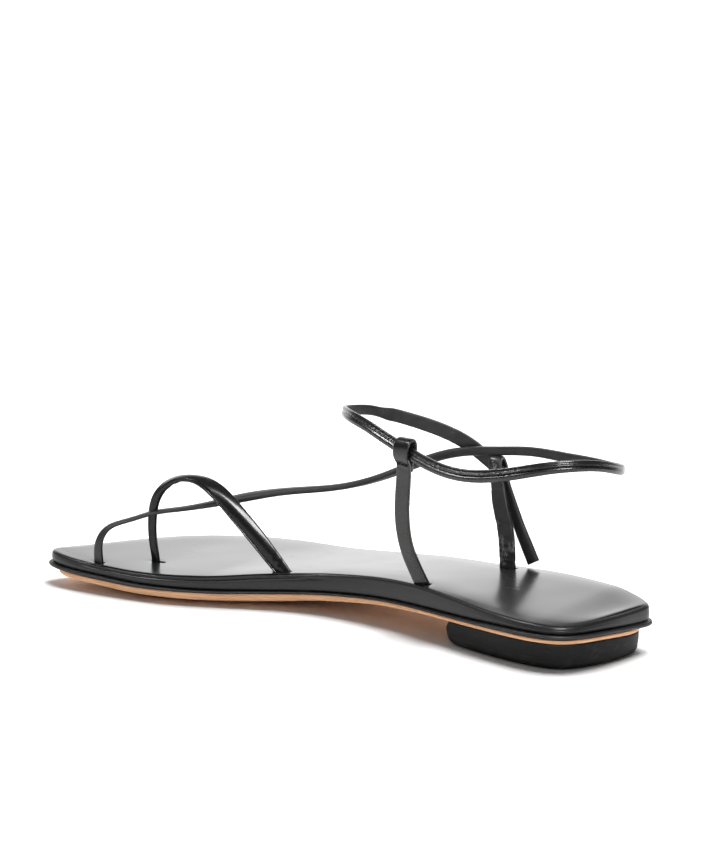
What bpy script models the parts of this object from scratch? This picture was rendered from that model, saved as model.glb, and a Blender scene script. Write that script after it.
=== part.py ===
"""Flat strappy sandal for the right foot, at life size in metres, toe toward +X, inner side +Y, up +Z.

Sizes below are millimetres. In the tables "along" runs from the back of the heel to the tip of the toe,
"across" is positive toward the inner side of the foot and "up" is the height above the floor.
"""

import math

import bmesh
import bpy
import numpy as np

MM = 0.001
LENGTH = 258.0
GAP = 0.3

WELT_THICK = 1.5
WELT_ROUND = 0.45
OUTSOLE_INSET = 0.7
OUTSOLE_ROUND = 0.5
FOOTBED_INSET = 1.4
FOOTBED_ROUND = 2.3
FOOTBED_FOOT_ROUND = 0.7
FOOTBED_CROWN = 0.6

BLOCK_INSET = 1.1
BLOCK_TAPER = 0.4
BLOCK_CORNER = 5.0
BLOCK_CORNER_TURN = 0.9

# The outsole and the block are rounder than the welt at these two corners of the plan.
TUCKED_CORNERS = ("outer back corner", "toe tip")
CORNER_TUCK = 4.5
CORNER_REACH = 9.0

# How finely the curves are read and the surfaces divided.
PLAN_POINTS = 4000
PATH_POINTS = 800
END_MARGIN = 0.02
SOLE_STATIONS = 46
BLOCK_STATIONS = 16
CROWN_COLUMNS = 6
CROWN_FULL_WIDTH = 40.0
BELLY_COLUMNS = 8
BELLY_REACH = 14.0
SMOOTH_ANGLE = math.radians(40)

STRAP_SIDES = 12
STRAP_SQUARENESS = 0.62
STRAP_STEP = 4.2
SLOT_RUN = 12.0
SLOT_STEP = 3.0

# The plan of the welt, the widest layer, as places met in turn round the foot.
OUTLINE = (
    # place, along, across
    ("inner back", 1.0, 2.5),
    ("inner back corner", 5.0, 17.5),
    ("inner heel", 13.0, 27.0),
    ("inner heel side", 35.0, 29.0),
    ("inner breast", 69.0, 22.5),
    ("inner waist", 104.0, 16.0),
    ("inner arch", 138.0, 17.0),
    ("behind inner ball", 168.0, 29.5),
    ("inner ball", 197.0, 42.5),
    ("big toe side", 226.0, 46.5),
    ("big toe corner", 247.0, 47.0),
    ("toe tip", 258.0, 41.5),
    ("big toe front", 253.0, 27.0),
    ("middle toes", 243.0, 6.5),
    ("small toes", 227.0, -15.0),
    ("small toe side", 205.0, -30.0),
    ("outer ball", 173.0, -36.0),
    ("outer arch", 136.0, -34.5),
    ("outer waist", 94.0, -32.5),
    ("outer breast", 56.0, -31.0),
    ("outer heel", 21.0, -27.5),
    ("outer back corner", 1.5, -22.0),
    ("outer back", 0.0, -12.0),
)

# Height of the outsole's lower edge, thickness there of the two layers that vary, and how far the underside
# bellies down below its edge, from heel to toe.
PROFILE = (
    # along, ground, outsole, footbed, belly
    (0.0, 10.4, 1.5, 7.0, 0.0),
    (35.0, 10.3, 1.5, 7.4, 0.0),
    (70.0, 9.6, 1.4, 7.8, 0.0),
    (100.0, 8.5, 1.7, 7.6, 0.3),
    (130.0, 5.8, 2.3, 7.0, 1.1),
    (158.0, 3.3, 2.8, 6.2, 2.2),
    (182.0, 2.5, 2.7, 5.6, 2.5),
    (206.0, 2.5, 2.6, 5.3, 2.5),
    (232.0, 3.6, 2.2, 5.2, 1.9),
    (258.0, 5.1, 1.8, 5.2, 0.8),
)

# Rings of the heel block from the floor up: the front bulges and tucks under, the sides taper in a little.
BLOCK_RINGS = (
    # share of height, front along, taper share
    (0.0, 67.0, 1.6),
    (0.12, 69.5, 1.0),
    (0.35, 71.2, 0.6),
    (0.65, 71.5, 0.2),
    (1.0, 69.8, 0.0),
)

# Strap centre lines. "facing" and "lift" turn the broad face: compass degrees from the toe toward the inner
# side, and degrees above level.
VAMP_STRAP = (
    # along, across, up, width, thick, facing, lift
    (212.5, 26.5, 8.5, 3.5, 2.0, 95.0, 0.0),
    (212.5, 26.5, 12.5, 3.5, 2.0, 95.0, 0.0),
    (214.0, 26.5, 21.5, 3.3, 2.1, 95.0, 5.0),
    (214.0, 26.5, 30.5, 3.4, 2.1, 95.0, 15.0),
    (212.3, 26.3, 38.0, 3.6, 2.1, 96.0, 40.0),
    (207.3, 25.6, 44.4, 4.2, 2.1, 97.0, 74.0),
    (199.0, 24.4, 48.4, 5.2, 2.1, 98.0, 92.0),
    (190.5, 23.0, 48.2, 6.2, 2.2, 98.0, 70.0),
    (182.2, 21.6, 43.7, 6.9, 2.4, 98.0, 48.0),
    (173.3, 20.0, 35.4, 7.1, 2.6, 98.0, 30.0),
    (164.0, 18.2, 25.9, 7.0, 2.6, 98.0, 20.0),
    (156.5, 16.6, 17.5, 6.5, 2.4, 98.0, 12.0),
    (153.6, 16.0, 14.3, 6.1, 2.2, 98.0, 8.0),
    (150.9, 15.5, 10.8, 5.9, 2.2, 98.0, 5.0),
)
TOE_STRAP = (
    # along, across, up, width, thick, facing, lift
    (230.0, 41.7, 9.0, 4.4, 1.8, 90.0, 0.0),
    (230.0, 42.0, 13.5, 4.4, 1.8, 90.0, 0.0),
    (229.2, 42.8, 19.5, 3.8, 1.7, 90.0, 10.0),
    (227.8, 42.0, 23.9, 3.3, 1.6, 90.0, 35.0),
    (225.2, 39.5, 27.3, 3.0, 1.5, 90.0, 65.0),
    (219.0, 33.8, 30.0, 3.0, 1.5, 90.0, 78.0),
    (212.0, 28.2, 32.7, 3.3, 1.6, 90.0, 80.0),
    (203.0, 23.0, 34.5, 3.2, 1.7, 80.0, 80.0),
    (192.0, 17.7, 37.0, 3.4, 1.8, 60.0, 74.0),
    (179.0, 10.0, 40.5, 4.4, 2.0, 60.0, 66.0),
    (164.0, 0.5, 43.5, 4.0, 2.0, 30.0, 78.0),
    (147.0, -9.5, 45.7, 3.8, 2.0, -20.0, 78.0),
    (130.0, -18.8, 50.9, 3.8, 2.0, -45.0, 60.0),
    (112.0, -26.5, 59.3, 3.8, 2.0, -62.0, 40.0),
    (97.0, -30.0, 63.8, 3.8, 2.0, -75.0, 22.0),
    (82.0, -31.6, 65.8, 3.8, 2.0, -86.0, 12.0),
    (66.0, -32.3, 67.5, 3.9, 2.0, -92.0, 8.0),
    (50.0, -31.8, 67.5, 4.2, 2.1, -98.0, 5.0),
    (35.0, -29.0, 68.0, 4.2, 2.2, -108.0, 3.0),
    (21.8, -24.0, 68.7, 4.2, 2.3, -124.0, 0.0),
    (13.2, -16.5, 70.5, 4.2, 2.4, -145.0, 0.0),
    (8.4, -6.5, 72.9, 4.2, 2.4, -172.0, 0.0),
    (8.2, 4.5, 76.0, 4.2, 2.4, -197.0, 0.0),
    (12.5, 13.7, 77.3, 4.5, 2.5, -225.0, 0.0),
    (22.0, 20.8, 76.3, 4.8, 2.5, -245.0, 0.0),
    (34.0, 25.2, 73.5, 5.0, 2.5, -258.0, 0.0),
    (50.0, 27.4, 70.5, 5.0, 2.5, -266.0, 0.0),
    (63.0, 28.0, 70.5, 5.0, 2.5, -270.0, 0.0),
    (74.0, 27.9, 72.7, 5.0, 2.5, -272.0, 0.0),
    (83.5, 27.3, 75.8, 5.0, 2.5, -275.0, 0.0),
)
ANKLE_STRAP = (
    # along, across, up, width, thick, facing, lift
    (84.5, 27.2, 76.1, 5.0, 2.4, 85.0, 0.0),
    (95.0, 26.0, 79.4, 4.9, 2.4, 80.0, 2.0),
    (106.0, 23.6, 82.5, 4.8, 2.3, 70.0, 6.0),
    (117.0, 19.2, 83.9, 4.6, 2.2, 58.0, 10.0),
    (126.2, 11.2, 83.4, 4.2, 2.1, 38.0, 10.0),
    (131.2, 1.5, 81.7, 4.1, 2.0, 8.0, 6.0),
    (130.5, -11.0, 79.6, 4.4, 1.9, -25.0, 4.0),
    (125.0, -20.5, 76.6, 5.1, 1.8, -48.0, 2.0),
    (116.5, -26.3, 73.7, 5.6, 1.7, -62.0, 0.0),
    (107.0, -30.3, 70.5, 5.8, 1.7, -72.0, 0.0),
    (97.5, -32.6, 66.5, 6.0, 1.7, -82.0, 0.0),
    (88.5, -32.8, 61.7, 6.0, 1.7, -92.0, 0.0),
    (81.5, -31.4, 57.8, 5.8, 1.7, -96.0, 0.0),
    (77.5, -30.4, 52.5, 5.6, 1.7, -96.0, 0.0),
    (74.2, -29.9, 45.0, 5.6, 1.7, -94.0, 0.0),
    (70.4, -29.6, 37.0, 5.6, 1.7, -92.0, 0.0),
    (66.5, -29.5, 30.0, 5.6, 1.7, -90.0, 0.0),
    (62.8, -29.5, 23.5, 5.6, 1.7, -90.0, 0.0),
)
INNER_POST = (
    # along, across, up, width, thick, facing, lift
    (84.5, 14.2, 16.5, 5.2, 1.8, 95.0, 0.0),
    (85.0, 14.6, 20.5, 5.2, 1.8, 95.0, 0.0),
    (87.3, 17.2, 29.0, 5.2, 1.8, 95.0, -8.0),
    (89.2, 19.8, 37.0, 5.2, 1.8, 95.0, -10.0),
    (89.2, 22.0, 46.5, 5.2, 1.8, 95.0, -10.0),
    (87.8, 23.8, 55.5, 5.2, 1.8, 94.0, -8.0),
    (86.0, 25.4, 64.5, 5.2, 1.8, 92.0, -6.0),
    (84.5, 26.6, 72.5, 5.2, 1.8, 90.0, -4.0),
)
OUTER_POST = (
    # along, across, up, width, thick, facing, lift
    (72.0, -24.0, 17.0, 6.2, 1.8, -92.0, 0.0),
    (72.0, -24.0, 21.0, 6.2, 1.8, -92.0, 0.0),
    (72.5, -24.0, 29.0, 6.4, 1.8, -92.0, 0.0),
    (73.3, -24.3, 36.5, 6.4, 1.8, -92.0, 0.0),
    (75.8, -25.2, 44.0, 6.6, 1.8, -93.0, 0.0),
    (78.8, -27.0, 51.0, 6.6, 1.8, -94.0, -6.0),
    (80.8, -29.4, 56.0, 6.2, 1.8, -95.0, -10.0),
)

# The posts' tops fold round the ankle strap as short sleeves.
INNER_LOOP = (
    # along, across, up, width, thick, facing, lift
    (81.2, 27.5, 75.0, 8.8, 5.2, 87.0, 0.0),
    (84.0, 27.3, 76.0, 9.2, 5.6, 86.0, 0.0),
    (86.8, 27.0, 77.0, 8.8, 5.2, 85.0, 0.0),
)
OUTER_LOOP = (
    # along, across, up, width, thick, facing, lift
    (84.6, -32.1, 59.7, 8.6, 4.8, -94.0, 0.0),
    (81.8, -31.3, 58.1, 9.0, 5.2, -95.0, 0.0),
    (79.4, -30.8, 55.7, 8.6, 4.8, -96.0, 0.0),
)

# Finish of each piece: base colour, roughness.
FINISHES = {
    "outsole": ((0.62, 0.36, 0.20), 0.6),
    "heel_block": ((0.012, 0.012, 0.012), 0.6),
    "welt": ((0.018, 0.018, 0.018), 0.45),
    "footbed": ((0.022, 0.022, 0.022), 0.25),
    "upper": ((0.02, 0.02, 0.02), 0.35),
}


def spline(rows, closed=False, space=3):
    """A smooth cubic through the rows, as a function of shares 0..1; the first columns are its space."""
    rows = np.array(rows, float)
    if closed:
        rows = np.vstack([rows, rows[:1]])
    last = len(rows) - 1
    step = np.linalg.norm(np.diff(rows[:, :space], axis=0), axis=1) ** 0.5
    rise = np.diff(rows, axis=0) / step[:, None]
    knots = np.concatenate([[0.0], np.cumsum(step)])
    system = np.zeros((last + 1, last + 1))
    sums = np.zeros_like(rows)
    for i in range(1, last):
        system[i, i - 1 : i + 2] = 1 / step[i - 1], 2 / step[i - 1] + 2 / step[i], 1 / step[i]
        sums[i] = 3 * (rise[i - 1] / step[i - 1] + rise[i] / step[i])
    if closed:
        system[0, 0], system[0, last] = 1, -1
        system[last, last - 1] = 1 / step[-1]
        system[last, 0] = 2 / step[-1] + 2 / step[0]
        system[last, 1] = 1 / step[0]
        sums[last] = 3 * (rise[-1] / step[-1] + rise[0] / step[0])
    else:
        system[0, 0], system[0, 1] = 2, 1
        system[last, last], system[last, last - 1] = 2, 1
        sums[0], sums[last] = 3 * rise[0], 3 * rise[-1]
    slopes = np.linalg.solve(system, sums)

    def at(shares):
        place = np.clip(np.asarray(shares, float), 0, 1) * knots[-1]
        i = np.clip(np.searchsorted(knots, place, side="right") - 1, 0, last - 1)
        width = step[i][:, None]
        u = ((place - knots[i]) / step[i])[:, None]
        from_left = rows[i] * (1 + 2 * u) * (1 - u) ** 2 + slopes[i] * width * u * (1 - u) ** 2
        from_right = rows[i + 1] * u * u * (3 - 2 * u) + slopes[i + 1] * width * u * u * (u - 1)
        return from_left + from_right

    return at


def level_curve(table, column):
    """A curve over "along" that never overshoots its rows, so that a level stretch stays level."""
    rows = np.array(table, float)
    place, value = rows[:, 0], rows[:, column]
    rise = np.diff(value) / np.diff(place)
    slope = np.zeros(len(rows))
    slope[0], slope[-1] = rise[0], rise[-1]
    for i in range(1, len(rows) - 1):
        if rise[i - 1] * rise[i] > 0:
            slope[i] = 2 * rise[i - 1] * rise[i] / (rise[i - 1] + rise[i])

    def at(along):
        along = np.clip(along, place[0], place[-1])
        i = np.clip(np.searchsorted(place, along, side="right") - 1, 0, len(place) - 2)
        width = place[i + 1] - place[i]
        u = (along - place[i]) / width
        from_left = value[i] * (1 + 2 * u) * (1 - u) ** 2 + slope[i] * width * u * (1 - u) ** 2
        from_right = value[i + 1] * u * u * (3 - 2 * u) + slope[i + 1] * width * u * u * (u - 1)
        return from_left + from_right

    return at


ground = level_curve(PROFILE, 1)
outsole_thick = level_curve(PROFILE, 2)
footbed_thick = level_curve(PROFILE, 3)
belly = level_curve(PROFILE, 4)


def outsole_top(along):
    return ground(along) + outsole_thick(along)


def welt_bottom(along):
    return outsole_top(along) + GAP


def footbed_bottom(along):
    return welt_bottom(along) + WELT_THICK + GAP


def footbed_top(along):
    return footbed_bottom(along) + footbed_thick(along)


def plan_halves():
    """The plan's inner and outer halves, heel to toe: points and inward normals, closely spaced."""
    shares = np.linspace(0, 1, PLAN_POINTS, endpoint=False)
    points = spline([row[1:] for row in OUTLINE], closed=True, space=2)(shares)
    back, tip = points[:, 0].min(), points[:, 0].max()
    points[:, 0] = (points[:, 0] - back) * LENGTH / (tip - back)
    forward = np.roll(points, -1, axis=0) - np.roll(points, 1, axis=0)
    forward /= np.linalg.norm(forward, axis=1)[:, None]
    inward = np.stack([forward[:, 1], -forward[:, 0]], axis=1)
    start = int(points[:, 0].argmin())
    points, inward = np.roll(points, -start, axis=0), np.roll(inward, -start, axis=0)
    turn = int(points[:, 0].argmax()) + 1
    inner = points[:turn], inward[:turn]
    outer = points[turn:][::-1], inward[turn:][::-1]
    return inner, outer


PLAN_HALVES = plan_halves()


def tuck_at(x, y):
    """How far the outsole and the block draw in near the tucked corners."""
    tuck = np.zeros_like(x)
    for place, along, across in OUTLINE:
        if place in TUCKED_CORNERS:
            tuck += CORNER_TUCK * np.exp(-((x - along) ** 2 + (y - across) ** 2) / CORNER_REACH**2)
    return tuck


def plan_at(along, inset, tucked=False):
    """Points of the inner and the outer edge at these stations, moved in by inset."""
    edges = []
    for points, inward in PLAN_HALVES:
        columns = [np.interp(along, points[:, 0], source) for source in (*points.T, *inward.T)]
        x, y, nx, ny = columns
        move = (inset + tuck_at(x, y) * tucked) / np.hypot(nx, ny)
        edges.append(np.stack([x + move * nx, y + move * ny], axis=1))
    return edges


def spread(first, last, count):
    """Stations from first to last, closer together toward both ends."""
    share = (1 - np.cos(np.linspace(0, math.pi, count + 1))) / 2
    return first + (last - first) * share


SOLE_ALONG = spread(END_MARGIN, LENGTH - END_MARGIN, SOLE_STATIONS)


def sole_ring(inset, height, tucked):
    """One closed ring round the sole: the inner edge heel to toe, then the outer edge back to the heel."""
    inner, outer = plan_at(SOLE_ALONG, inset, tucked)
    flat = np.vstack([inner, outer[::-1]])
    return np.column_stack([flat, height(flat[:, 0])])


def add_ring(bm, points):
    return [bm.verts.new(point) for point in points * MM]


def bridge(bm, below, above):
    count = len(below)
    for i in range(count):
        j = (i + 1) % count
        bm.faces.new((below[i], below[j], above[j], above[i]))


def close_across(bm, ring):
    """Fills a sole ring with strips that run straight across it."""
    count = len(ring)
    for i in range(count // 2 - 1):
        bm.faces.new((ring[i], ring[i + 1], ring[count - 2 - i], ring[count - 1 - i]))


def close_domed(bm, ring, columns, rise):
    """Fills a sole ring with triangles that leave its rim by a rise, in mm, over a place and a share across."""
    half = len(ring) // 2
    rows = [[ring[0], ring[-1]]]
    for i in range(1, half - 1):
        inner, outer = ring[i].co.copy(), ring[-1 - i].co.copy()
        row = [ring[i]]
        for column in range(1, columns):
            share = (1 - math.cos(math.pi * column / columns)) / 2
            point = inner.lerp(outer, share)
            point.z += rise(point.x / MM, (inner - outer).length / MM, share) * MM
            row.append(bm.verts.new(point))
        rows.append(row + [ring[-1 - i]])
    rows.append([ring[half - 1], ring[half]])
    for before, after in zip(rows[:-1], rows[1:]):
        if len(before) == len(after):
            for column in range(columns):
                bm.faces.new((before[column], before[column + 1], after[column + 1]))
                bm.faces.new((before[column], after[column + 1], after[column]))
        else:
            bm.faces.new(before + after[::-1])


def crown_rise(along, width, share):
    """The padded top swells a little from its rim."""
    return FOOTBED_CROWN * min(1.0, width / CROWN_FULL_WIDTH) * (1 - abs(2 * share - 1) ** 4)


def belly_rise(along, width, share):
    """The underside bellies down from its edge to a level middle."""
    inside = min(1.0, min(share, 1 - share) * width / BELLY_REACH)
    return -float(belly(along)) * (1 - (1 - inside) ** 2)


def finish_mesh(bm, name, parent):
    """Turns the bmesh into a smooth object under the parent, faces outward."""
    bmesh.ops.recalc_face_normals(bm, faces=bm.faces)
    mesh = bpy.data.meshes.new(name)
    bm.to_mesh(mesh)
    bm.free()
    mesh.shade_smooth()
    mesh.set_sharp_from_angle(angle=SMOOTH_ANGLE)
    obj = bpy.data.objects.new(name, mesh)
    bpy.context.scene.collection.objects.link(obj)
    obj.parent = parent
    return obj


def layer(name, parent, sections, crown=None, belly_down=None, tucked=False):
    """A sole layer from its rings, bottom to top, each an inset and a height over "along"."""
    bm = bmesh.new()
    rings = [add_ring(bm, sole_ring(inset, height, tucked)) for inset, height in sections]
    for below, above in zip(rings[:-1], rings[1:]):
        bridge(bm, below, above)
    if belly_down is None:
        close_across(bm, rings[0])
    else:
        close_domed(bm, rings[0], BELLY_COLUMNS, belly_down)
    if crown is None:
        close_across(bm, rings[-1])
    else:
        close_domed(bm, rings[-1], CROWN_COLUMNS, crown)
    return finish_mesh(bm, name, parent)


def make_outsole(parent):
    sections = (
        (OUTSOLE_INSET + OUTSOLE_ROUND, ground),
        (OUTSOLE_INSET, lambda along: ground(along) + OUTSOLE_ROUND),
        (OUTSOLE_INSET, outsole_top),
    )
    return layer("outsole", parent, sections, belly_down=belly_rise, tucked=True)


def make_welt(parent):
    sections = (
        (WELT_ROUND, welt_bottom),
        (0.0, lambda along: welt_bottom(along) + WELT_ROUND),
        (0.0, lambda along: welt_bottom(along) + WELT_THICK - WELT_ROUND),
        (WELT_ROUND, lambda along: welt_bottom(along) + WELT_THICK),
    )
    return layer("welt", parent, sections)


def make_footbed(parent):
    sections = [
        (FOOTBED_INSET + FOOTBED_FOOT_ROUND, footbed_bottom),
        (FOOTBED_INSET, lambda along: footbed_bottom(along) + FOOTBED_FOOT_ROUND),
    ]
    for degrees in (0, 30, 60, 90):
        turn = math.radians(degrees)
        inset = FOOTBED_INSET + FOOTBED_ROUND * (1 - math.cos(turn))
        drop = FOOTBED_ROUND * (1 - math.sin(turn)) + FOOTBED_CROWN / 2
        sections.append((inset, lambda along, drop=drop: footbed_top(along) - drop))
    return layer("footbed", parent, sections, crown=crown_rise)


def make_heel_block(parent):
    """The block under the heel: its top follows the outsole and its underside lies on the floor."""
    bm = bmesh.new()
    rings = []
    for share, front, taper in BLOCK_RINGS:
        along = spread(END_MARGIN, front, BLOCK_STATIONS)
        corner = np.clip((along - (front - BLOCK_CORNER)) / BLOCK_CORNER, 0, 1)
        rounding = BLOCK_CORNER * (1 - np.sqrt(1 - BLOCK_CORNER_TURN * corner**2))
        inner, outer = plan_at(along, BLOCK_INSET + BLOCK_TAPER * taper + rounding, tucked=True)
        flat = np.vstack([inner, outer[::-1]])
        rings.append(add_ring(bm, np.column_stack([flat, share * (ground(flat[:, 0]) - GAP)])))
    for below, above in zip(rings[:-1], rings[1:]):
        bridge(bm, below, above)
    close_across(bm, rings[0])
    close_across(bm, rings[-1])
    return finish_mesh(bm, "heel_block", parent)


def path_samples(rows, step=STRAP_STEP):
    """Rows of a strap table at even steps along its centre line."""
    curve = spline(rows)
    shares = np.linspace(0, 1, PATH_POINTS)
    fine = curve(shares)
    run = np.concatenate([[0.0], np.cumsum(np.linalg.norm(np.diff(fine[:, :3], axis=0), axis=1))])
    count = max(2, round(run[-1] / step))
    return curve(np.interp(np.linspace(0, run[-1], count + 1), run, shares))


def strap(name, parent, samples, grow=0.0):
    """A strap of rounded section along the samples, grown all round where it serves as a cutter."""
    centre, width, thick = samples[:, :3], samples[:, 3] + 2 * grow, samples[:, 4] + 2 * grow
    facing, lift = np.radians(samples[:, 5]), np.radians(samples[:, 6])
    tangent = np.gradient(centre, axis=0)
    tangent /= np.linalg.norm(tangent, axis=1)[:, None]
    level = np.cos(lift)
    face = np.stack([level * np.cos(facing), level * np.sin(facing), np.sin(lift)], axis=1)
    face -= tangent * np.sum(face * tangent, axis=1)[:, None]
    face /= np.linalg.norm(face, axis=1)[:, None]
    side = np.cross(tangent, face)
    turns = 2 * np.pi * (np.arange(STRAP_SIDES) + 0.5) / STRAP_SIDES
    wide = np.sign(np.cos(turns)) * np.abs(np.cos(turns)) ** STRAP_SQUARENESS
    deep = np.sign(np.sin(turns)) * np.abs(np.sin(turns)) ** STRAP_SQUARENESS
    bm = bmesh.new()
    rings = []
    for i in range(len(samples)):
        ring = centre[i] + np.outer(wide * width[i] / 2, side[i]) + np.outer(deep * thick[i] / 2, face[i])
        rings.append(add_ring(bm, ring))
    for below, above in zip(rings[:-1], rings[1:]):
        bridge(bm, below, above)
    bm.faces.new(rings[0])
    bm.faces.new(rings[-1])
    return finish_mesh(bm, name, parent)


def as_helper(obj):
    obj.hide_render = True
    obj.display_type = "WIRE"
    return obj


def combine(obj, other, operation):
    boolean = obj.modifiers.new(other.name, "BOOLEAN")
    boolean.operation = operation
    boolean.object = as_helper(other)
    boolean.solver = "EXACT"


def make_upper(parent):
    """All straps joined where they cross: one solid."""
    upper = strap("upper", parent, path_samples(VAMP_STRAP))
    joined = (
        ("toe_strap_run", TOE_STRAP, STRAP_STEP),
        ("ankle_strap_run", ANKLE_STRAP, STRAP_STEP),
        ("inner_post_run", INNER_POST, STRAP_STEP),
        ("outer_post_run", OUTER_POST, STRAP_STEP),
        ("inner_loop_run", INNER_LOOP, STRAP_STEP / 2),
        ("outer_loop_run", OUTER_LOOP, STRAP_STEP / 2),
    )
    for name, rows, step in joined:
        combine(upper, strap(name, parent, path_samples(rows, step)), "UNION")
    return upper


def strap_end(rows, from_start):
    """The run of a strap that passes through its slot, with a little more depth."""
    samples = path_samples(rows, SLOT_STEP)
    if not from_start:
        samples = samples[::-1]
    run = samples[: round(SLOT_RUN / SLOT_STEP) + 1]
    deeper = run[0].copy()
    down = run[0, :3] - run[1, :3]
    deeper[:3] += down / np.linalg.norm(down) * GAP
    return np.vstack([deeper, run[1:]])


def cut_slots(footbed, parent):
    ends = (
        ("vamp_toe_slot", VAMP_STRAP, True),
        ("vamp_side_slot", VAMP_STRAP, False),
        ("toe_strap_slot", TOE_STRAP, True),
        ("inner_post_slot", INNER_POST, True),
        ("outer_post_slot", OUTER_POST, True),
    )
    for name, rows, from_start in ends:
        combine(footbed, strap(name, parent, strap_end(rows, from_start), grow=GAP), "DIFFERENCE")


def paint(obj):
    colour, roughness = FINISHES[obj.name]
    material = bpy.data.materials.new(obj.name)
    material.use_nodes = True
    shader = material.node_tree.nodes["Principled BSDF"]
    shader.inputs["Base Color"].default_value = (*colour, 1.0)
    shader.inputs["Roughness"].default_value = roughness
    shader.inputs["Metallic"].default_value = 0.0
    obj.data.materials.append(material)


def main():
    for obj in list(bpy.data.objects):
        bpy.data.objects.remove(obj)
    across = np.concatenate([points[:, 1] for points, _ in PLAN_HALVES])
    centre = bpy.data.objects.new("sandal", None)
    centre.location = (-LENGTH / 2 * MM, -(across.min() + across.max()) / 2 * MM, 0.0)
    bpy.context.scene.collection.objects.link(centre)
    pieces = [make_outsole(centre), make_welt(centre), make_footbed(centre)]
    pieces += [make_heel_block(centre), make_upper(centre)]
    cut_slots(pieces[2], centre)
    for piece in pieces:
        paint(piece)


main()
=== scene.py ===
"""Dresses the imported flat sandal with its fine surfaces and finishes, and sets the floor, light and camera.

The file is laid out as an add-on and run as a script. Lengths in the tables are millimetres in the shoe's
own directions: "along" from the back of the heel to the tip of the toe, "across" positive toward the inner
side of the foot and "up" above the floor.
"""

import math

import bmesh
import bpy
import numpy as np
from bpy.props import FloatProperty, FloatVectorProperty, IntProperty, PointerProperty
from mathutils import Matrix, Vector


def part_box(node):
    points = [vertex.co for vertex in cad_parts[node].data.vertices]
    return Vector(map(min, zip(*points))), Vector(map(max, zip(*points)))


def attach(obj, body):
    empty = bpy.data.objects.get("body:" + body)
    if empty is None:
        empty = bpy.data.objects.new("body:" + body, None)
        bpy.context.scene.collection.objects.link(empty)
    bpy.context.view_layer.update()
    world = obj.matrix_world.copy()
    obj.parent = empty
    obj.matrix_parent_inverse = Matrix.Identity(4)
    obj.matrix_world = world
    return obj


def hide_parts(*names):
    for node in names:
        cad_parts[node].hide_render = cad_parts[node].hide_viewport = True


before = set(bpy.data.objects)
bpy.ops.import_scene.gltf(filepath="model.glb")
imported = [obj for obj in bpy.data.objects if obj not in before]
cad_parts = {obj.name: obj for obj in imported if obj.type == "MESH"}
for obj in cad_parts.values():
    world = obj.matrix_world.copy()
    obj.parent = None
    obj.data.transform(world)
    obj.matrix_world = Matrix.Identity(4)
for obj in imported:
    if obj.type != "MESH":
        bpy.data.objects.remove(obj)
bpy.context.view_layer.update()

bl_info = {
    "name": "Flat Sandal Finish",
    "version": (1, 0, 0),
    "blender": (4, 5, 0),
    "location": "3D View > Sidebar > Sandal",
    "description": "Builds the fine surfaces and finishes of a flat strappy sandal round its packed solids",
    "category": "Object",
}

MM = 0.001
BODY = "root"

# Layers of the sole.
LENGTH = 258.0
GAP = 0.3
WELT_THICK = 1.5
WELT_ROUND = 0.5
OUTSOLE_INSET = 0.7
OUTSOLE_ROUND = 0.5
OUTSOLE_SWELL = 0.12
BELLY_REACH = 14.0
FOOTBED_INSET = 1.4
FOOTBED_ROUND = 1.5
FOOTBED_FOOT_ROUND = 0.7
WALL_SWELL = 0.15
WALL_DEPTH = 4.0
RIM_REACH = 14.0
RIM_POWER = 3
RIM_CREASE_FADE = 16.0
PAD_SETTLE = 3.0
SLOT_DIP = 0.12
SLOT_DIP_REACH = 1.4
BLOCK_INSET = 1.1
BLOCK_TAPER = 0.7
BLOCK_CORNER = 5.0
BLOCK_CORNER_TURN = 0.9
BLOCK_EDGE_ROUND = 2.4
BLOCK_EDGE_TUCK = 0.8
BLOCK_EDGE_SHARE = 0.25
TUCKED_CORNERS = ("outer back corner", "toe tip")
CORNER_TUCK = 4.5
CORNER_REACH = 9.0
CORNER_SAG = 1.9
SAG_ALONG = 22.0
SAG_FROM = 14.0
SAG_ACROSS = 34.0

# How finely the curves are read, how many rings make up an edge, and the angles that stay sharp.
PLAN_POINTS = 4000
PATH_POINTS = 1600
SECTION_POINTS = 2000
SECTION_FLATNESS = 0.45
END_MARGIN = 0.02
FOOT_RINGS = 4
WALL_RINGS = 10
RIM_RINGS = 23
OUTSOLE_RINGS = 9
BLOCK_STEPS = 13
HIDDEN_COLUMNS = 2
STRAP_SHARP = math.radians(60)
SLOT_SHARP = math.radians(50)

# The plan of the welt, the widest layer, as places met in turn round the foot.
OUTLINE = (
    # place, along, across
    ("inner back", 1.0, 2.5),
    ("inner back corner", 5.0, 17.5),
    ("inner heel", 13.0, 27.0),
    ("inner heel side", 35.0, 29.0),
    ("inner breast", 69.0, 22.5),
    ("inner waist", 104.0, 16.0),
    ("inner arch", 138.0, 17.0),
    ("behind inner ball", 168.0, 29.5),
    ("inner ball", 197.0, 42.5),
    ("big toe side", 226.0, 46.5),
    ("big toe corner", 247.0, 47.0),
    ("toe tip", 258.0, 41.5),
    ("big toe front", 253.0, 27.0),
    ("middle toes", 243.0, 6.5),
    ("small toes", 227.0, -15.0),
    ("small toe side", 205.0, -30.0),
    ("outer ball", 173.0, -36.0),
    ("outer arch", 136.0, -34.5),
    ("outer waist", 94.0, -32.5),
    ("outer breast", 56.0, -31.0),
    ("outer heel", 21.0, -27.5),
    ("outer back corner", 1.5, -22.0),
    ("outer back", 0.0, -12.0),
)

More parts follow.
